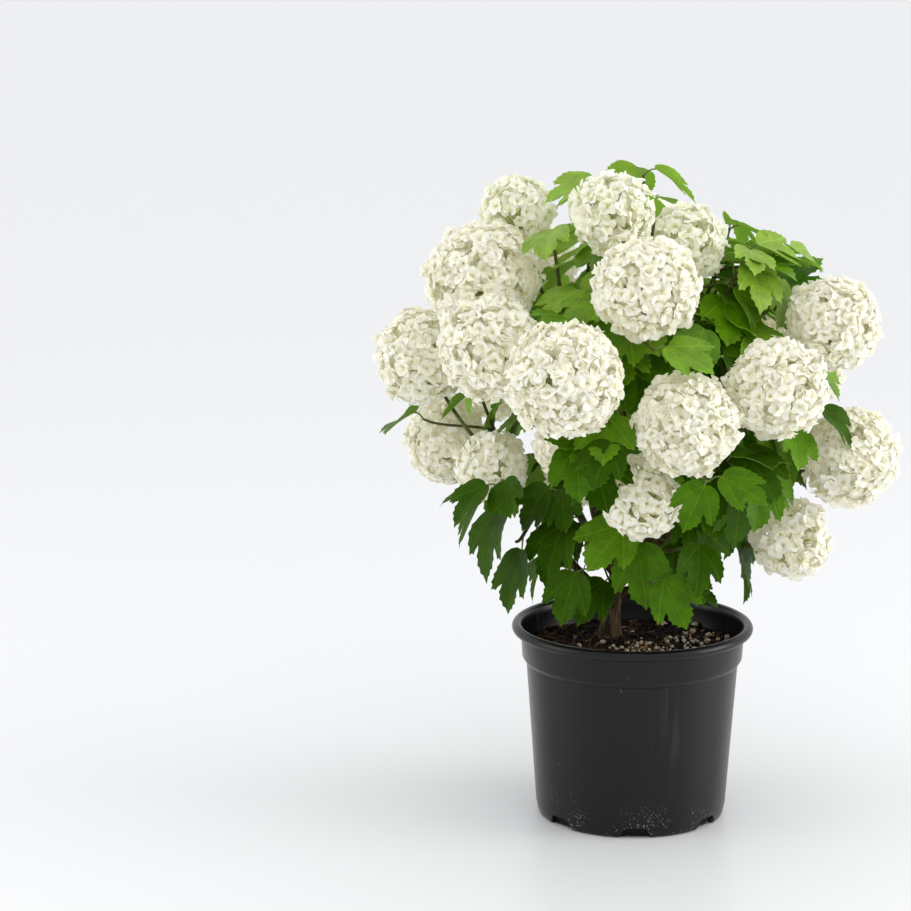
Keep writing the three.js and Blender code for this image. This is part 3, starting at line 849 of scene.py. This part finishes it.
# ------------------------------------------------------------------ leaves
# Pairs of three-lobed leaves with coarse teeth, on short grooved stalks, each pair a quarter turn from
# the last. Low leaves hang and face outwards, high ones lie level and are younger and yellower; the tints
# are also darker low in the crown for painted shade and lighter at its top for painted light.
LEAF_LENGTH = 60 * MM
LEAF_STALK = 17 * MM
STALK_RADII = (0.95 * MM, 0.75 * MM)
LEAF_SPACING = 30 * MM
LEAF_FIRST = 18 * MM
LEAF_YOUNGEST = 0.78
LEAF_THICKNESS = 0.35 * MM
LEAF_LOWEST = 196 * MM
# The least distance between the middles of two blades, low in the crown and high in it.
CROWDED_HEIGHTS = (230 * MM, 400 * MM)
LEAF_CROWDED = (42 * MM, 15 * MM)
LEAF_PAST_BOX = 2 * MM
LEAF_OFF_LIMB = 0.5 * MM
# A blade stays out of a head's ball, and does not hang before its face: the disc on the side away from
# the crown's middle. All are shares of the head's radius.
HEAD_SKIN = 0.97
HEAD_FRONT = 0.2
HEAD_FACE = 0.7
CROWN_MIDDLE = np.array((0, 0, 360 * MM))
# How steeply blades hang, low in the crown and high in it.
HANG_HEIGHTS = (250 * MM, 497.5 * MM)
LEAF_HANG = (1.15, 0.4)
# A shoot that stands lower than this bears leaves only near its end.
BARE_BELOW = 320 * MM
LOW_PAIRS = 2
# The least and the most that a blade folds up from its middle, droops, rolls and twists, then the slope
# and the width of the rise beside each vein, and the waves in its edge, all in shares of its length.
BLADE_FOLD = (0.0388, 0.233)
BLADE_DROOP = (0.02, 0.42)
BLADE_ROLL = (-0.12, 0.3)
BLADE_TWIST = (-0.1, 0.1)
VEIN_RISE = 0.16
VEIN_RISE_WIDTH = 0.16
EDGE_WAVE = 0.018
EDGE_WAVE_RATE = 9
# The right half of a blade's outline in shares of its length, from the stalk round to the tip.
LEAF_OUTLINE = [
    (0.02, 0.0), (0.12, -0.015), (0.24, 0.03), (0.34, 0.11), (0.4, 0.21), (0.43, 0.31), (0.475, 0.37),
    (0.46, 0.42), (0.5, 0.5), (0.475, 0.545), (0.5, 0.63), (0.465, 0.655), (0.47, 0.745), (0.4, 0.715),
    (0.355, 0.735), (0.315, 0.67), (0.235, 0.6), (0.225, 0.68), (0.255, 0.745), (0.215, 0.775),
    (0.22, 0.855), (0.155, 0.87), (0.13, 0.935), (0.07, 0.945), (0.0, 1.03),
]
# The veins part just above the stalk, in the same shares, and the side ones run out to their lobes.
VEIN_FOOT = 0.02
SIDE_VEIN_TIP = (0.47, 0.72)
SIDE_VEIN_WAY = Vector(SIDE_VEIN_TIP).normalized()
VEIN_SHARES = (0.28, 0.56, 0.82)
MIDDLE_VEIN = (0.2, 0.38, 0.56, 0.72, 0.87)
BETWEEN_VEINS = ((0.12, 0.36), (0.11, 0.66), (0.33, 0.28))
# The fine ribs that slant off the main veins, to a blade's length.
RIBS = 10
RIB_SLANT = 0.75


def leaf_template():
    """The blade's flat points, its triangles, and how many of the points are its rim, which comes first."""
    rim = [Vector(point) for point in LEAF_OUTLINE]
    rim += [Vector((-x, y)) for x, y in LEAF_OUTLINE[-2::-1]]
    foot = Vector((0, VEIN_FOOT))
    inner = [Vector((0, y)) for y in MIDDLE_VEIN]
    for sign in (1, -1):
        tip = Vector((sign * SIDE_VEIN_TIP[0], SIDE_VEIN_TIP[1]))
        inner += [foot.lerp(tip, share) for share in VEIN_SHARES]
    inner += [Vector((sign * x, y)) for sign in (1, -1) for x, y in BETWEEN_VEINS]
    edges = [(i, (i + 1) % len(rim)) for i in range(len(rim))]
    made = geometry.delaunay_2d_cdt(rim + inner, edges, [], 1, 1e-6)
    flat, triangles = np.array(made[0]), np.array(made[2])
    a, b, c = (flat[triangles[:, i]] for i in range(3))
    clockwise = np.cross(b - a, c - a) < 0
    triangles[clockwise] = triangles[clockwise][:, ::-1]
    return flat, triangles, len(rim)


def vein_distance(flat):
    """How far each of the blade's points is from the nearest main vein."""
    x, y = np.abs(flat[:, 0]), flat[:, 1]
    return np.minimum(x, np.abs(x * SIDE_VEIN_WAY.y - (y - VEIN_FOOT) * SIDE_VEIN_WAY.x))


def set_leaf(root, tangent, turn, size, keys):
    """A leaf and how it sits on its shoot: its stalk's root, its blade's base, and the blade's axes."""
    out = outward(root)
    reference = out if abs(tangent.z) > 0.9 else UP
    side = turned(tangent.cross(reference).normalized(), tangent, turn)
    hang = float(np.interp(root.z, HANG_HEIGHTS, LEAF_HANG))
    wander = (Vector([chance(*keys, i) for i in (1, 2, 3)]) - Vector((0.5, 0.5, 0.5))) * 0.7
    stalk = (side + tangent * 0.5 + out * 0.5 + UP * 0.25).normalized()
    along = (side * 0.7 + out * 0.8 + wander - UP * hang).normalized()
    normal = UP * (1.25 - 0.6 * hang) + out * (0.45 + 0.6 * hang) + wander * 0.5
    return {
        "root": root,
        "base": root + stalk * LEAF_STALK * size,
        "along": along,
        "normal": (normal - along * normal.dot(along)).normalized(),
        "length": LEAF_LENGTH * size * lerp(0.88, 1.12, chance(*keys, 4)),
        "keys": keys,
        "young": size < 1,
    }


def shoot_leaves(shoot):
    """Pairs of leaves a quarter turn apart, the last one at the shoot's tip or under its head."""
    path, mass, number = shoot["path"], shoot["mass"], shoot["number"]
    flowering = shoot["kind"] == "flowering"
    at = path.length - (shoot["diameter"] * 0.25 if flowering else 1 * MM)
    leaves = []
    pair = 0
    while at > LEAF_FIRST:
        root, tangent = path.point(at / path.length), path.tangent(at / path.length)
        size = LEAF_YOUNGEST if pair == 0 and not flowering else 1
        for half in (0, 1):
            turn = pair * math.pi / 2 + half * math.pi + chance(mass, number, pair) * 0.6
            leaves.append(set_leaf(root, tangent, turn, size, (mass, number, pair, half)))
        pair += 1
        at -= LEAF_SPACING
        if root.z < BARE_BELOW and pair == LOW_PAIRS:
            break
    return leaves


flat, leaf_triangles, rim_count = leaf_template()
from_vein = vein_distance(flat)


def blade_points(leaf, lift=0.0):
    """The blade's points in place: folded up from its veins, drooping to its tip, with waves in its edge."""
    keys = leaf["keys"]
    fold = lerp(*BLADE_FOLD, chance(*keys, 11))
    droop = lerp(*BLADE_DROOP, chance(*keys, 12))
    roll = lerp(*BLADE_ROLL, chance(*keys, 13))
    wave_start = chance(*keys, 14) * 6.3
    twist = lerp(*BLADE_TWIST, chance(*keys, 15))
    x, y = flat[:, 0], flat[:, 1]
    height = fold * np.abs(x) - droop * y**2 - roll * x**2 + twist * x * y
    height += VEIN_RISE * np.minimum(from_vein, VEIN_RISE_WIDTH)
    height += EDGE_WAVE * np.sin(EDGE_WAVE_RATE * y + wave_start) * np.minimum(np.abs(x) * 3, 1)
    axes = np.array([leaf["along"].cross(leaf["normal"]), leaf["along"], leaf["normal"]])
    local = np.stack([x, y, height], 1) * leaf["length"]
    local[:, 2] += lift
    return np.array(leaf["base"]) + local @ axes


def covers_a_head(points):
    """Whether a blade hangs over the outer face of a head, which opens in front of its leaves."""
    for centre, radius in zip(head_centres, head_radii):
        face = centre - CROWN_MIDDLE
        face = face / np.linalg.norm(face)
        away = points - centre
        ahead = away @ face
        aside = np.linalg.norm(away - ahead[:, None] * face, axis=1)
        if ((ahead > HEAD_FRONT * radius) & (aside < HEAD_FACE * radius)).any():
            return True
    return False


limbs = [(trunk_path, trunk_radius)] + [(path, bough_radius) for path in bough_paths.values()]
limb_steps = np.linspace(0, 1, 40)
limb_points = np.concatenate([path.at(limb_steps) for path, _ in limbs])
limb_radii = np.concatenate([radius_at(limb_steps) for _, radius_at in limbs])


def touches_a_limb(points):
    """Whether a blade cuts the trunk or a bough, or comes very near to one."""
    away = np.linalg.norm(points[:, None] - limb_points[None], axis=2) - limb_radii
    return away.min() < LEAF_OFF_LIMB


def in_the_box(points):
    """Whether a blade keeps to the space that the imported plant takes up."""
    low, high = np.array(cad_box)
    return (points > low - LEAF_PAST_BOX).all() and (points < high + LEAF_PAST_BOX).all()


def has_leaf_room(leaf, others):
    """A leaf is left out where it would cut a head, the pot or a limb, or lie on top of another leaf."""
    points = blade_points(leaf)
    if points[:, 2].min() < LEAF_LOWEST or not in_the_box(points):
        return False
    if in_a_head(points, HEAD_SKIN) or covers_a_head(points) or touches_a_limb(points):
        return False
    middle = points.mean(axis=0)
    apart = np.interp(middle[2], CROWDED_HEIGHTS, LEAF_CROWDED)
    if others and np.linalg.norm(np.array(others) - middle, axis=1).min() < apart:
        return False
    others.append(middle)
    return True


leaf_middles = []
leaves = []
for shoot in shoots:
    if shoot["kind"] != "stem":
        leaves += [leaf for leaf in shoot_leaves(shoot) if has_leaf_room(leaf, leaf_middles)]
leafy = {leaf["keys"][:2] for leaf in leaves}


def bears_something(shoot):
    """A sprig that bears neither a leaf nor another sprig is left out."""
    here = (shoot["mass"], shoot["number"])
    forks = any((other["mass"], other.get("parent")) == here for other in shoots)
    return shoot["kind"] in ("stem", "flowering") or here in leafy or forks


# The shoots are made here, after their leaves, because a bare one is left out.
shoot_tubes = []
for shoot in filter(bears_something, shoots):
    if shoot["kind"] == "stem":
        shoot_tubes.append(tube(shoot["path"], (BOUGH_TIP_RADIUS, SHOOT_RADII[0]), sides=8, rings=3))
    else:
        radii = {"side": SIDE_RADII, "spur": SPUR_RADII}.get(shoot["kind"], SHOOT_RADII)
        rings = max(4, round(shoot["path"].length / SHOOT_RING))
        shoot_tubes.append(tube(shoot["path"], radii, 7, rings))
shoot_green = green_shoot("shoot_green", colour(60, 66, 28), colour(96, 104, 46), colour(92, 62, 38))
join_crown("shoots", *joined(shoot_tubes), [shoot_green], crease=60)

# The tints go from the old leaves to the young over these heights in millimetres, darker below and
# lighter above: partly the leaves' age, partly painted shade low in the crown and painted light at its top.
# A whole spray differs from the next, and its leaves from each other, and less so at the top of the crown.
TINT_HEIGHTS = (290, 630)
SPRAY_DIFFERS = 0.5
LEAF_DIFFERS = 0.36
CALMING_HEIGHTS = (450, 600)
CALMED_TO = 0.4
YOUNGEST_PAIR = 0.2
YOUNGEST_ABOVE = 420


def leaf_tint(leaf):
    """Which of the tints a leaf has: by how high its spray is, and whether it is the youngest pair."""
    mass, number = leaf["keys"][:2]
    height = leaf["base"].z / MM
    vary = SPRAY_DIFFERS * (chance(mass, number, 21) - 0.5)
    vary += LEAF_DIFFERS * (chance(*leaf["keys"], 22) - 0.5)
    # The tint rises with height: partly the leaves' age, partly painted shade low in the crown and painted
    # light at its top.
    youth_and_painted_light = (height - TINT_HEIGHTS[0]) / (TINT_HEIGHTS[1] - TINT_HEIGHTS[0])
    youth_and_painted_light += vary * np.interp(height, CALMING_HEIGHTS, (1, CALMED_TO))
    if leaf["young"] and height > YOUNGEST_ABOVE:
        youth_and_painted_light += YOUNGEST_PAIR
    return int(np.clip(youth_and_painted_light * len(LEAF_TINTS), 0, len(LEAF_TINTS) - 1))


def leaf_stalks():
    """Every stalk, from inside its shoot to inside the foot of its blade."""
    tubes = []
    for leaf in leaves:
        root, base = leaf["root"], leaf["base"] + leaf["along"] * leaf["length"] * 0.03
        sag = UP * (base - root).length * 0.2
        stalk = Path(root, root.lerp(base, 0.3) + sag, root.lerp(base, 0.75) + sag, base)
        tubes.append(tube(stalk, STALK_RADII, sides=5, rings=4))
    return joined(tubes)


# A blade is thin enough for light from behind to show through it, mostly green.
BLADE_TISSUE = {"Subsurface_Radius": (0.5, 1.0, 0.15), "Subsurface_Scale": 1.2 * MM}


def leaf_upper(name, tint, vein_tint, gloss):
    """A leaf's upper side: a dull gloss over puckered tissue, with paler sunken veins."""
    material, shader, place = new_finish(
        name, 0.42, Specular_IOR_Level=gloss, Subsurface_Weight=0.3, **BLADE_TISSUE)
    flat_place = place.node("ShaderNodeUVMap")
    x = (flat_place.part(0) - 0.5).math("ABSOLUTE")
    y = flat_place.part(1)
    across = (x * SIDE_VEIN_WAY.y - (y - VEIN_FOOT) * SIDE_VEIN_WAY.x).math("ABSOLUTE")
    along = x * SIDE_VEIN_WAY.x + (y - VEIN_FOOT) * SIDE_VEIN_WAY.y
    nearer_side = across.math("LESS_THAN", x)
    distance = across.math("MINIMUM", x)
    run = nearer_side * along + (1 - nearer_side) * y
    ribs = ((run - distance * RIB_SLANT) * RIBS).math("FRACT")
    from_rib = 1 - (ribs - 0.5).math("ABSOLUTE") * 2
    fine = 1 - from_rib.ramp(0.0, 0.22)
    main = 1 - distance.ramp(0.004, 0.02)
    veins = main.math("MAXIMUM", fine * 0.6)
    mottle = place.noise(90.0, 3.0).ramp(0.3, 0.7)
    tissue = mottle.blend(shaded(tint, 0.72), tint)
    feed(shader, Base_Color=(veins * 0.45).blend(tissue, vein_tint))
    feed(shader, Normal=(1 - veins).bump(0.7 * MM, 0.55))
    return material


def leaf_under(name, tint, painted_glow):
    """A leaf's underside: paler, matt and downy, with a painted glow of its own tint in place of the light
    that shows through it.
    """
    material, shader, place = new_finish(
        name, 0.7, Specular_IOR_Level=0.15, Subsurface_Weight=0.45, **BLADE_TISSUE,
        # The emission is a painted glow: light through the blade, painted into its underside.
        Emission_Color=tint, Emission_Strength=painted_glow)
    mottle = place.noise(120.0, 3.0).ramp(0.3, 0.7)
    feed(shader, Base_Color=mottle.blend(shaded(tint, 0.8), tint))
    feed(shader, Normal=place.noise(700.0, 2.0).bump(0.3 * MM, 0.5))
    return material


# From the old leaves inside the crown to the youngest at its top, which also paints shade low in the crown
# and light at its top: the upper side, its veins and gloss, then the underside and its painted glow, which
# stands in for the light that shows through it.
LEAF_TINTS = {
    "dark": (colour(50, 84, 0), colour(76, 110, 6), 0.06, colour(96, 128, 44), 0.08),
    "deep": (colour(72, 114, 0), colour(98, 138, 10), 0.1, colour(104, 138, 46), 0.1),
    "full": (colour(92, 138, 4), colour(122, 164, 30), 0.22, colour(112, 146, 50), 0.14),
    "fresh": (colour(112, 154, 20), colour(144, 180, 56), 0.3, colour(122, 158, 50), 0.26),
    "young": (colour(134, 170, 42), colour(164, 196, 82), 0.35, colour(136, 170, 62), 0.36),
}


def join_leaves(name, group, looks):
    """A group of leaves as one closed mesh: upper sides, undersides and the thin rims between them."""
    below = len(flat)
    rim = np.arange(rim_count)
    after = np.roll(rim, -1)
    edge = np.concatenate([
        np.stack([rim, rim + below, after], 1),
        np.stack([after, rim + below, after + below], 1),
    ])
    triangles = np.concatenate([leaf_triangles, leaf_triangles[:, ::-1] + below, edge])
    half = LEAF_THICKNESS / 2
    blades = [np.concatenate([blade_points(leaf, half), blade_points(leaf, -half)]) for leaf in group]
    upper_or_under = [0] * len(leaf_triangles) + [1] * (len(leaf_triangles) + len(edge))
    tint, vein_tint, gloss, under_tint, painted_glow = looks
    upper = leaf_upper(f"{name}_upper", tint, vein_tint, gloss)
    under = leaf_under(f"{name}_under", under_tint, painted_glow)
    plan = np.tile(flat + (0.5, 0), (2, 1))
    points, corners = repeated(np.array(blades), triangles)
    finish_of = np.tile(upper_or_under, len(group))
    join_crown(name, points, corners, [upper, under], crease=65, plan=plan, finish_of=finish_of)


for number, (tint_name, looks) in enumerate(LEAF_TINTS.items()):
    join_leaves(f"leaves_{tint_name}", [leaf for leaf in leaves if leaf_tint(leaf) == number], looks)

stalk_green = green_shoot("stalk_green", colour(84, 108, 40), colour(122, 142, 64), colour(128, 84, 56))
join_crown("leaf_stalks", *leaf_stalks(), [stalk_green], crease=60)


# ------------------------------------------------------------------ blossom
# Each head is a ball of sterile florets on forked green stalks. A floret has five broad, cupped petals
# that open cream-white over a greenish throat, and no two lie alike.
FLORET_SPACING = 6.7 * MM
GOLDEN_TURN = math.pi * (3 - math.sqrt(5))
# Heads low in the crown and high in it hold their florets more loosely, and high ones are greener.
LOOSE_BELOW = 345 * MM
YOUNG_ABOVE = 550 * MM
# How far a floret strays: its way out of the head and the way it faces, then its depth in shares of
# the head's radius, with the swells that run over the whole head.
WAY_SPREAD = 0.055
FACING_SPREAD = 0.32
DEPTH_SPREAD = 0.04
SWELL_DEPTH = 0.09
SWELL_FINENESS = 1.7
PETALS = 5
PETAL_LENGTH = 7.8 * MM
PETAL_WIDTH = 8.6 * MM
PETAL_THICKNESS = 0.35 * MM
THROAT = 1.0 * MM
# The mean and the spread of a petal's tilt in radians, and of its bends as multiples of the first value.
PETAL_BEND = 0.6 * PETAL_LENGTH
PETAL_TILT = (0.66, 0.3)
PETAL_CURL = (-0.52, 0.35)
PETAL_CUP = (0.3, 0.3)
PETAL_WAVE = (0, 0.2)
FLORET_STALK_RADII = (0.7 * MM, 0.45 * MM)
PIECE_TRIANGLES = 190000


def petal_template(rows, columns):
    """A petal's flat points, as shares across and along, and its triangles: a grid over a fan."""
    grid = np.array([(u, v) for v in np.linspace(0, 1, rows + 1) for u in np.linspace(-1, 1, columns + 1)])
    index = np.arange(len(grid)).reshape(rows + 1, columns + 1)
    a, b, c, d = index[:-1, :-1], index[:-1, 1:], index[1:, 1:], index[1:, :-1]
    top = np.stack([a, b, c, a, c, d], -1).reshape(-1, 3)
    rim = np.concatenate([index[0], index[1:, -1], index[-1, -2::-1], index[-2:0:-1, 0]])
    under = np.stack([np.roll(rim, -1), rim, np.full_like(rim, len(grid))], -1)
    return np.concatenate([grid, [(0, 0.55)]]), np.concatenate([top, under])


def unit(vectors):
    """The same directions, each with length 1."""
    return vectors / np.linalg.norm(vectors, axis=1, keepdims=True)


def head_florets(shoot, layer):
    """Where a layer's florets sit and face: spread evenly over the ball, then shaken out of true."""
    keys = (shoot["mass"], shoot["number"], layer["number"])
    draw = np.random.default_rng(int(chance(*keys, 31) * 1e9))
    loose = not LOOSE_BELOW < shoot["centre"].z < YOUNG_ABOVE
    fullness = layer["share"] * (layer["loose"] if loose else 1)
    count = int((shoot["diameter"] / FLORET_SPACING) ** 2 * fullness)
    steps = np.arange(count) + 0.5
    height = 1 - 2 * steps / count
    level = np.sqrt(1 - height**2)
    angle = steps * GOLDEN_TURN
    ways = np.stack([level * np.cos(angle), level * np.sin(angle), height], 1)
    ways = unit(ways + draw.normal(0, WAY_SPREAD, ways.shape))
    swell = np.array([noise.noise(Vector(way) * SWELL_FINENESS + Vector(keys)) for way in ways])
    depth = layer["reach"] + SWELL_DEPTH * swell + draw.normal(0, DEPTH_SPREAD, count)
    reach = shoot["diameter"] / 2 * depth
    facing = unit(ways + draw.normal(0, FACING_SPREAD, ways.shape))
    return np.array(shoot["centre"]) + ways * reach[:, None], facing, draw


def petal_breadth(along):
    """A petal's width at a share of its length: narrow at the foot, broad past the middle, then blunt."""
    return np.where(along > 0.99, 0.52, 0.2 + 0.86 * np.sin(along**0.8 * 2.35) ** 1.1)


def florets(shoot, layer):
    """The petals of one of a head's layers, as (petals, points, 3)."""
    places, facing, draw = head_florets(shoot, layer)
    count = len(places)
    across = unit(np.cross(facing, draw.normal(0, 1, facing.shape)))
    beside = np.cross(facing, across)
    size = layer["size"] * draw.normal(1, 0.09, (count, 1, 1))
    turn = (np.arange(PETALS) * 2 * math.pi / PETALS)[:, None] + draw.normal(0, 0.1, (count, PETALS, 1))
    tilt, curl, cup, wave = (
        draw.normal(*bend, (count, PETALS, 1)) for bend in (PETAL_TILT, PETAL_CURL, PETAL_CUP, PETAL_WAVE)
    )
    # Across, along and up from the petal's foot.
    u, v = layer["plan"].T
    breadth = petal_breadth(v)
    x = u * breadth / 2 * PETAL_WIDTH * size
    y = (THROAT + (v - 0.1 * (u * v) ** 2) * PETAL_LENGTH) * size
    z = (curl * v**2 + cup * (u * breadth) ** 2 + wave * u * v) * PETAL_BEND
    z[:, :, -1] -= PETAL_THICKNESS
    z = z * size
    out = y * np.cos(tilt) - z * np.sin(tilt)
    rise = y * np.sin(tilt) + z * np.cos(tilt)
    points = (
        places[:, None, None]
        + (out * np.cos(turn) - x * np.sin(turn))[..., None] * across[:, None, None]
        + (out * np.sin(turn) + x * np.cos(turn))[..., None] * beside[:, None, None]
        + rise[..., None] * facing[:, None, None]
    )
    return points.reshape(-1, len(u), 3)


def head_stalks(shoot):
    """A head's green stalks: from the middle out to each floret's back."""
    places, facing, _ = head_florets(shoot, LAYERS[0])
    hub = Vector(shoot["path"].at(1.0))
    tubes = []
    for place, face in zip(places, facing):
        foot = Vector(place) - Vector(face) * 0.6 * MM
        stalk = Path(hub, hub.lerp(foot, 0.4), foot - Vector(face) * 9 * MM, foot)
        tubes.append(tube(stalk, FLORET_STALK_RADII, sides=3, rings=2))
    return tubes


def petal_finish(name, shaded_throat, cream, white):
    """A thin petal that light passes through: matt, faintly puckered, darker and warmer towards the throat,
    and with a faint painted glow.
    """
    material, shader, place = new_finish(
        name, 0.62, Specular_IOR_Level=0.25,
        Subsurface_Weight=0.7, Subsurface_Radius=(1.0, 0.95, 0.75), Subsurface_Scale=1.5 * MM,
        # The emission is a painted glow that lifts the petals' shade, as light passing through them would.
        Emission_Color=colour(250, 245, 210), Emission_Strength=0.075)
    along = place.node("ShaderNodeUVMap").part(1)
    patch = place.noise(110.0, 2.0).ramp(0.3, 0.7)
    # Towards the throat the colour is darker and warmer: partly the throat's own greenish tint, partly
    # painted shade in the pocket of the floret.
    feed(shader, Base_Color=along.ramp(0.0, 0.5).blend(shaded_throat, patch.blend(cream, white)))
    feed(shader, Normal=place.noise(500.0, 2.0).bump(0.25 * MM, 0.35))
    return material


petal_cream = petal_finish("petal_cream", colour(222, 216, 176), colour(247, 244, 222), colour(251, 250, 239))
petal_young = petal_finish("petal_young", colour(214, 216, 156), colour(244, 246, 220), colour(250, 251, 237))
# The inner florets' colours are darker copies of the cream: painted shade for the inside of the ball.
petal_inner_shaded = petal_finish("petal_inner_shaded", colour(206, 202, 154), colour(236, 232, 206), colour(244, 242, 224))

# The outer florets show whole. Those behind them fill the ball between the stalks, and are plainer, with
# darker colours that are painted shade for the inside of the ball.
# Share is how closely a layer is set with florets, and loose how many of them a loose head keeps.
LAYERS = [
    {"number": 0, "name": "blossom", "share": 1.0, "loose": 0.8, "size": 1.0, "reach": 0.87, "grid": (3, 2),
     "finish": petal_cream, "young": petal_young},
    {"number": 1, "name": "inner_blossom", "share": 0.5, "loose": 0.3, "size": 1.3, "reach": 0.69,
     "grid": (2, 2), "finish": petal_inner_shaded, "young": petal_inner_shaded},
]
for layer in LAYERS:
    layer["plan"], triangles = petal_template(*layer["grid"])
    most = PIECE_TRIANGLES // len(triangles)
    batches = {}
    for shoot in heads:
        petals = florets(shoot, layer)
        look = layer["young"] if shoot["centre"].z > YOUNG_ABOVE else layer["finish"]
        ready = batches.setdefault(look, [[]])
        if sum(map(len, ready[-1])) + len(petals) > most:
            ready.append([])
        ready[-1].append(petals)
    plan = layer["plan"] * (0.5, 1) + (0.5, 0)
    for look, ready in batches.items():
        for number, batch in enumerate(ready, start=1):
            points, corners = repeated(np.concatenate(batch), triangles)
            join_crown(f"{layer['name']}_{look.name}_{number}", points, corners, [look], crease=60, plan=plan)

pale_green = green_shoot(
    "floret_stalk_green", colour(190, 200, 130), colour(214, 220, 160), colour(200, 204, 140))
head_tubes = [stalk for shoot in heads for stalk in head_stalks(shoot)]
join_crown("floret_stalks", *joined(head_tubes), [pale_green], crease=70)


# ------------------------------------------------------------------ studio
# A white floor that runs out of sight, a pale surround, one big soft light overhead and a soft one
# each side.
FLOOR_SIZE = 60.0
FLOOR_WHITE = (0.82, 0.825, 0.835, 1)
SURROUND_WHITE = (0.98, 0.985, 1.0, 1)
SURROUND_STRENGTH = 0.9
OVERHEAD_STRENGTH = 0.56
OVERHEAD_ANGLE = math.radians(80)
OVERHEAD_TURN = (math.radians(26), 0, math.radians(40))
SIDE_LIGHT_SIZE = 1.3
LIGHTS_FACE = Vector((0, 0, 0.3))


def side_light(name, place, power):
    """A square soft light that faces the plant's middle."""
    data = bpy.data.lights.new(name, "AREA")
    data.shape = "SQUARE"
    data.size = SIDE_LIGHT_SIZE
    data.energy = power
    light = bpy.data.objects.new(name, data)
    light.location = place
    light.rotation_euler = (LIGHTS_FACE - Vector(place)).to_track_quat("-Z", "Y").to_euler()
    bpy.context.scene.collection.objects.link(light)


bpy.ops.object.select_all(action="DESELECT")
bpy.ops.mesh.primitive_plane_add(size=FLOOR_SIZE)
floor = bpy.context.object
floor.name = "studio_floor"
floor_paint = new_finish("studio_floor_paint", 0.4, Specular_IOR_Level=0.4, Base_Color=FLOOR_WHITE)[0]
floor.data.materials.append(floor_paint)

surround = bpy.data.worlds.new("pale_surround")
surround.use_nodes = True
background = surround.node_tree.nodes["Background"]
background.inputs["Color"].default_value = SURROUND_WHITE
background.inputs["Strength"].default_value = SURROUND_STRENGTH
bpy.context.scene.world = surround
bpy.context.scene.view_settings.view_transform = "Standard"
overhead = bpy.data.objects.new("light_overhead", bpy.data.lights.new("light_overhead", "SUN"))
overhead.data.energy = OVERHEAD_STRENGTH
overhead.data.angle = OVERHEAD_ANGLE
overhead.rotation_euler = OVERHEAD_TURN
bpy.context.scene.collection.objects.link(overhead)
side_light("light_right", (2.1, -0.3, 0.7), power=22)
side_light("light_left", (-2.2, -0.4, 0.8), power=10)
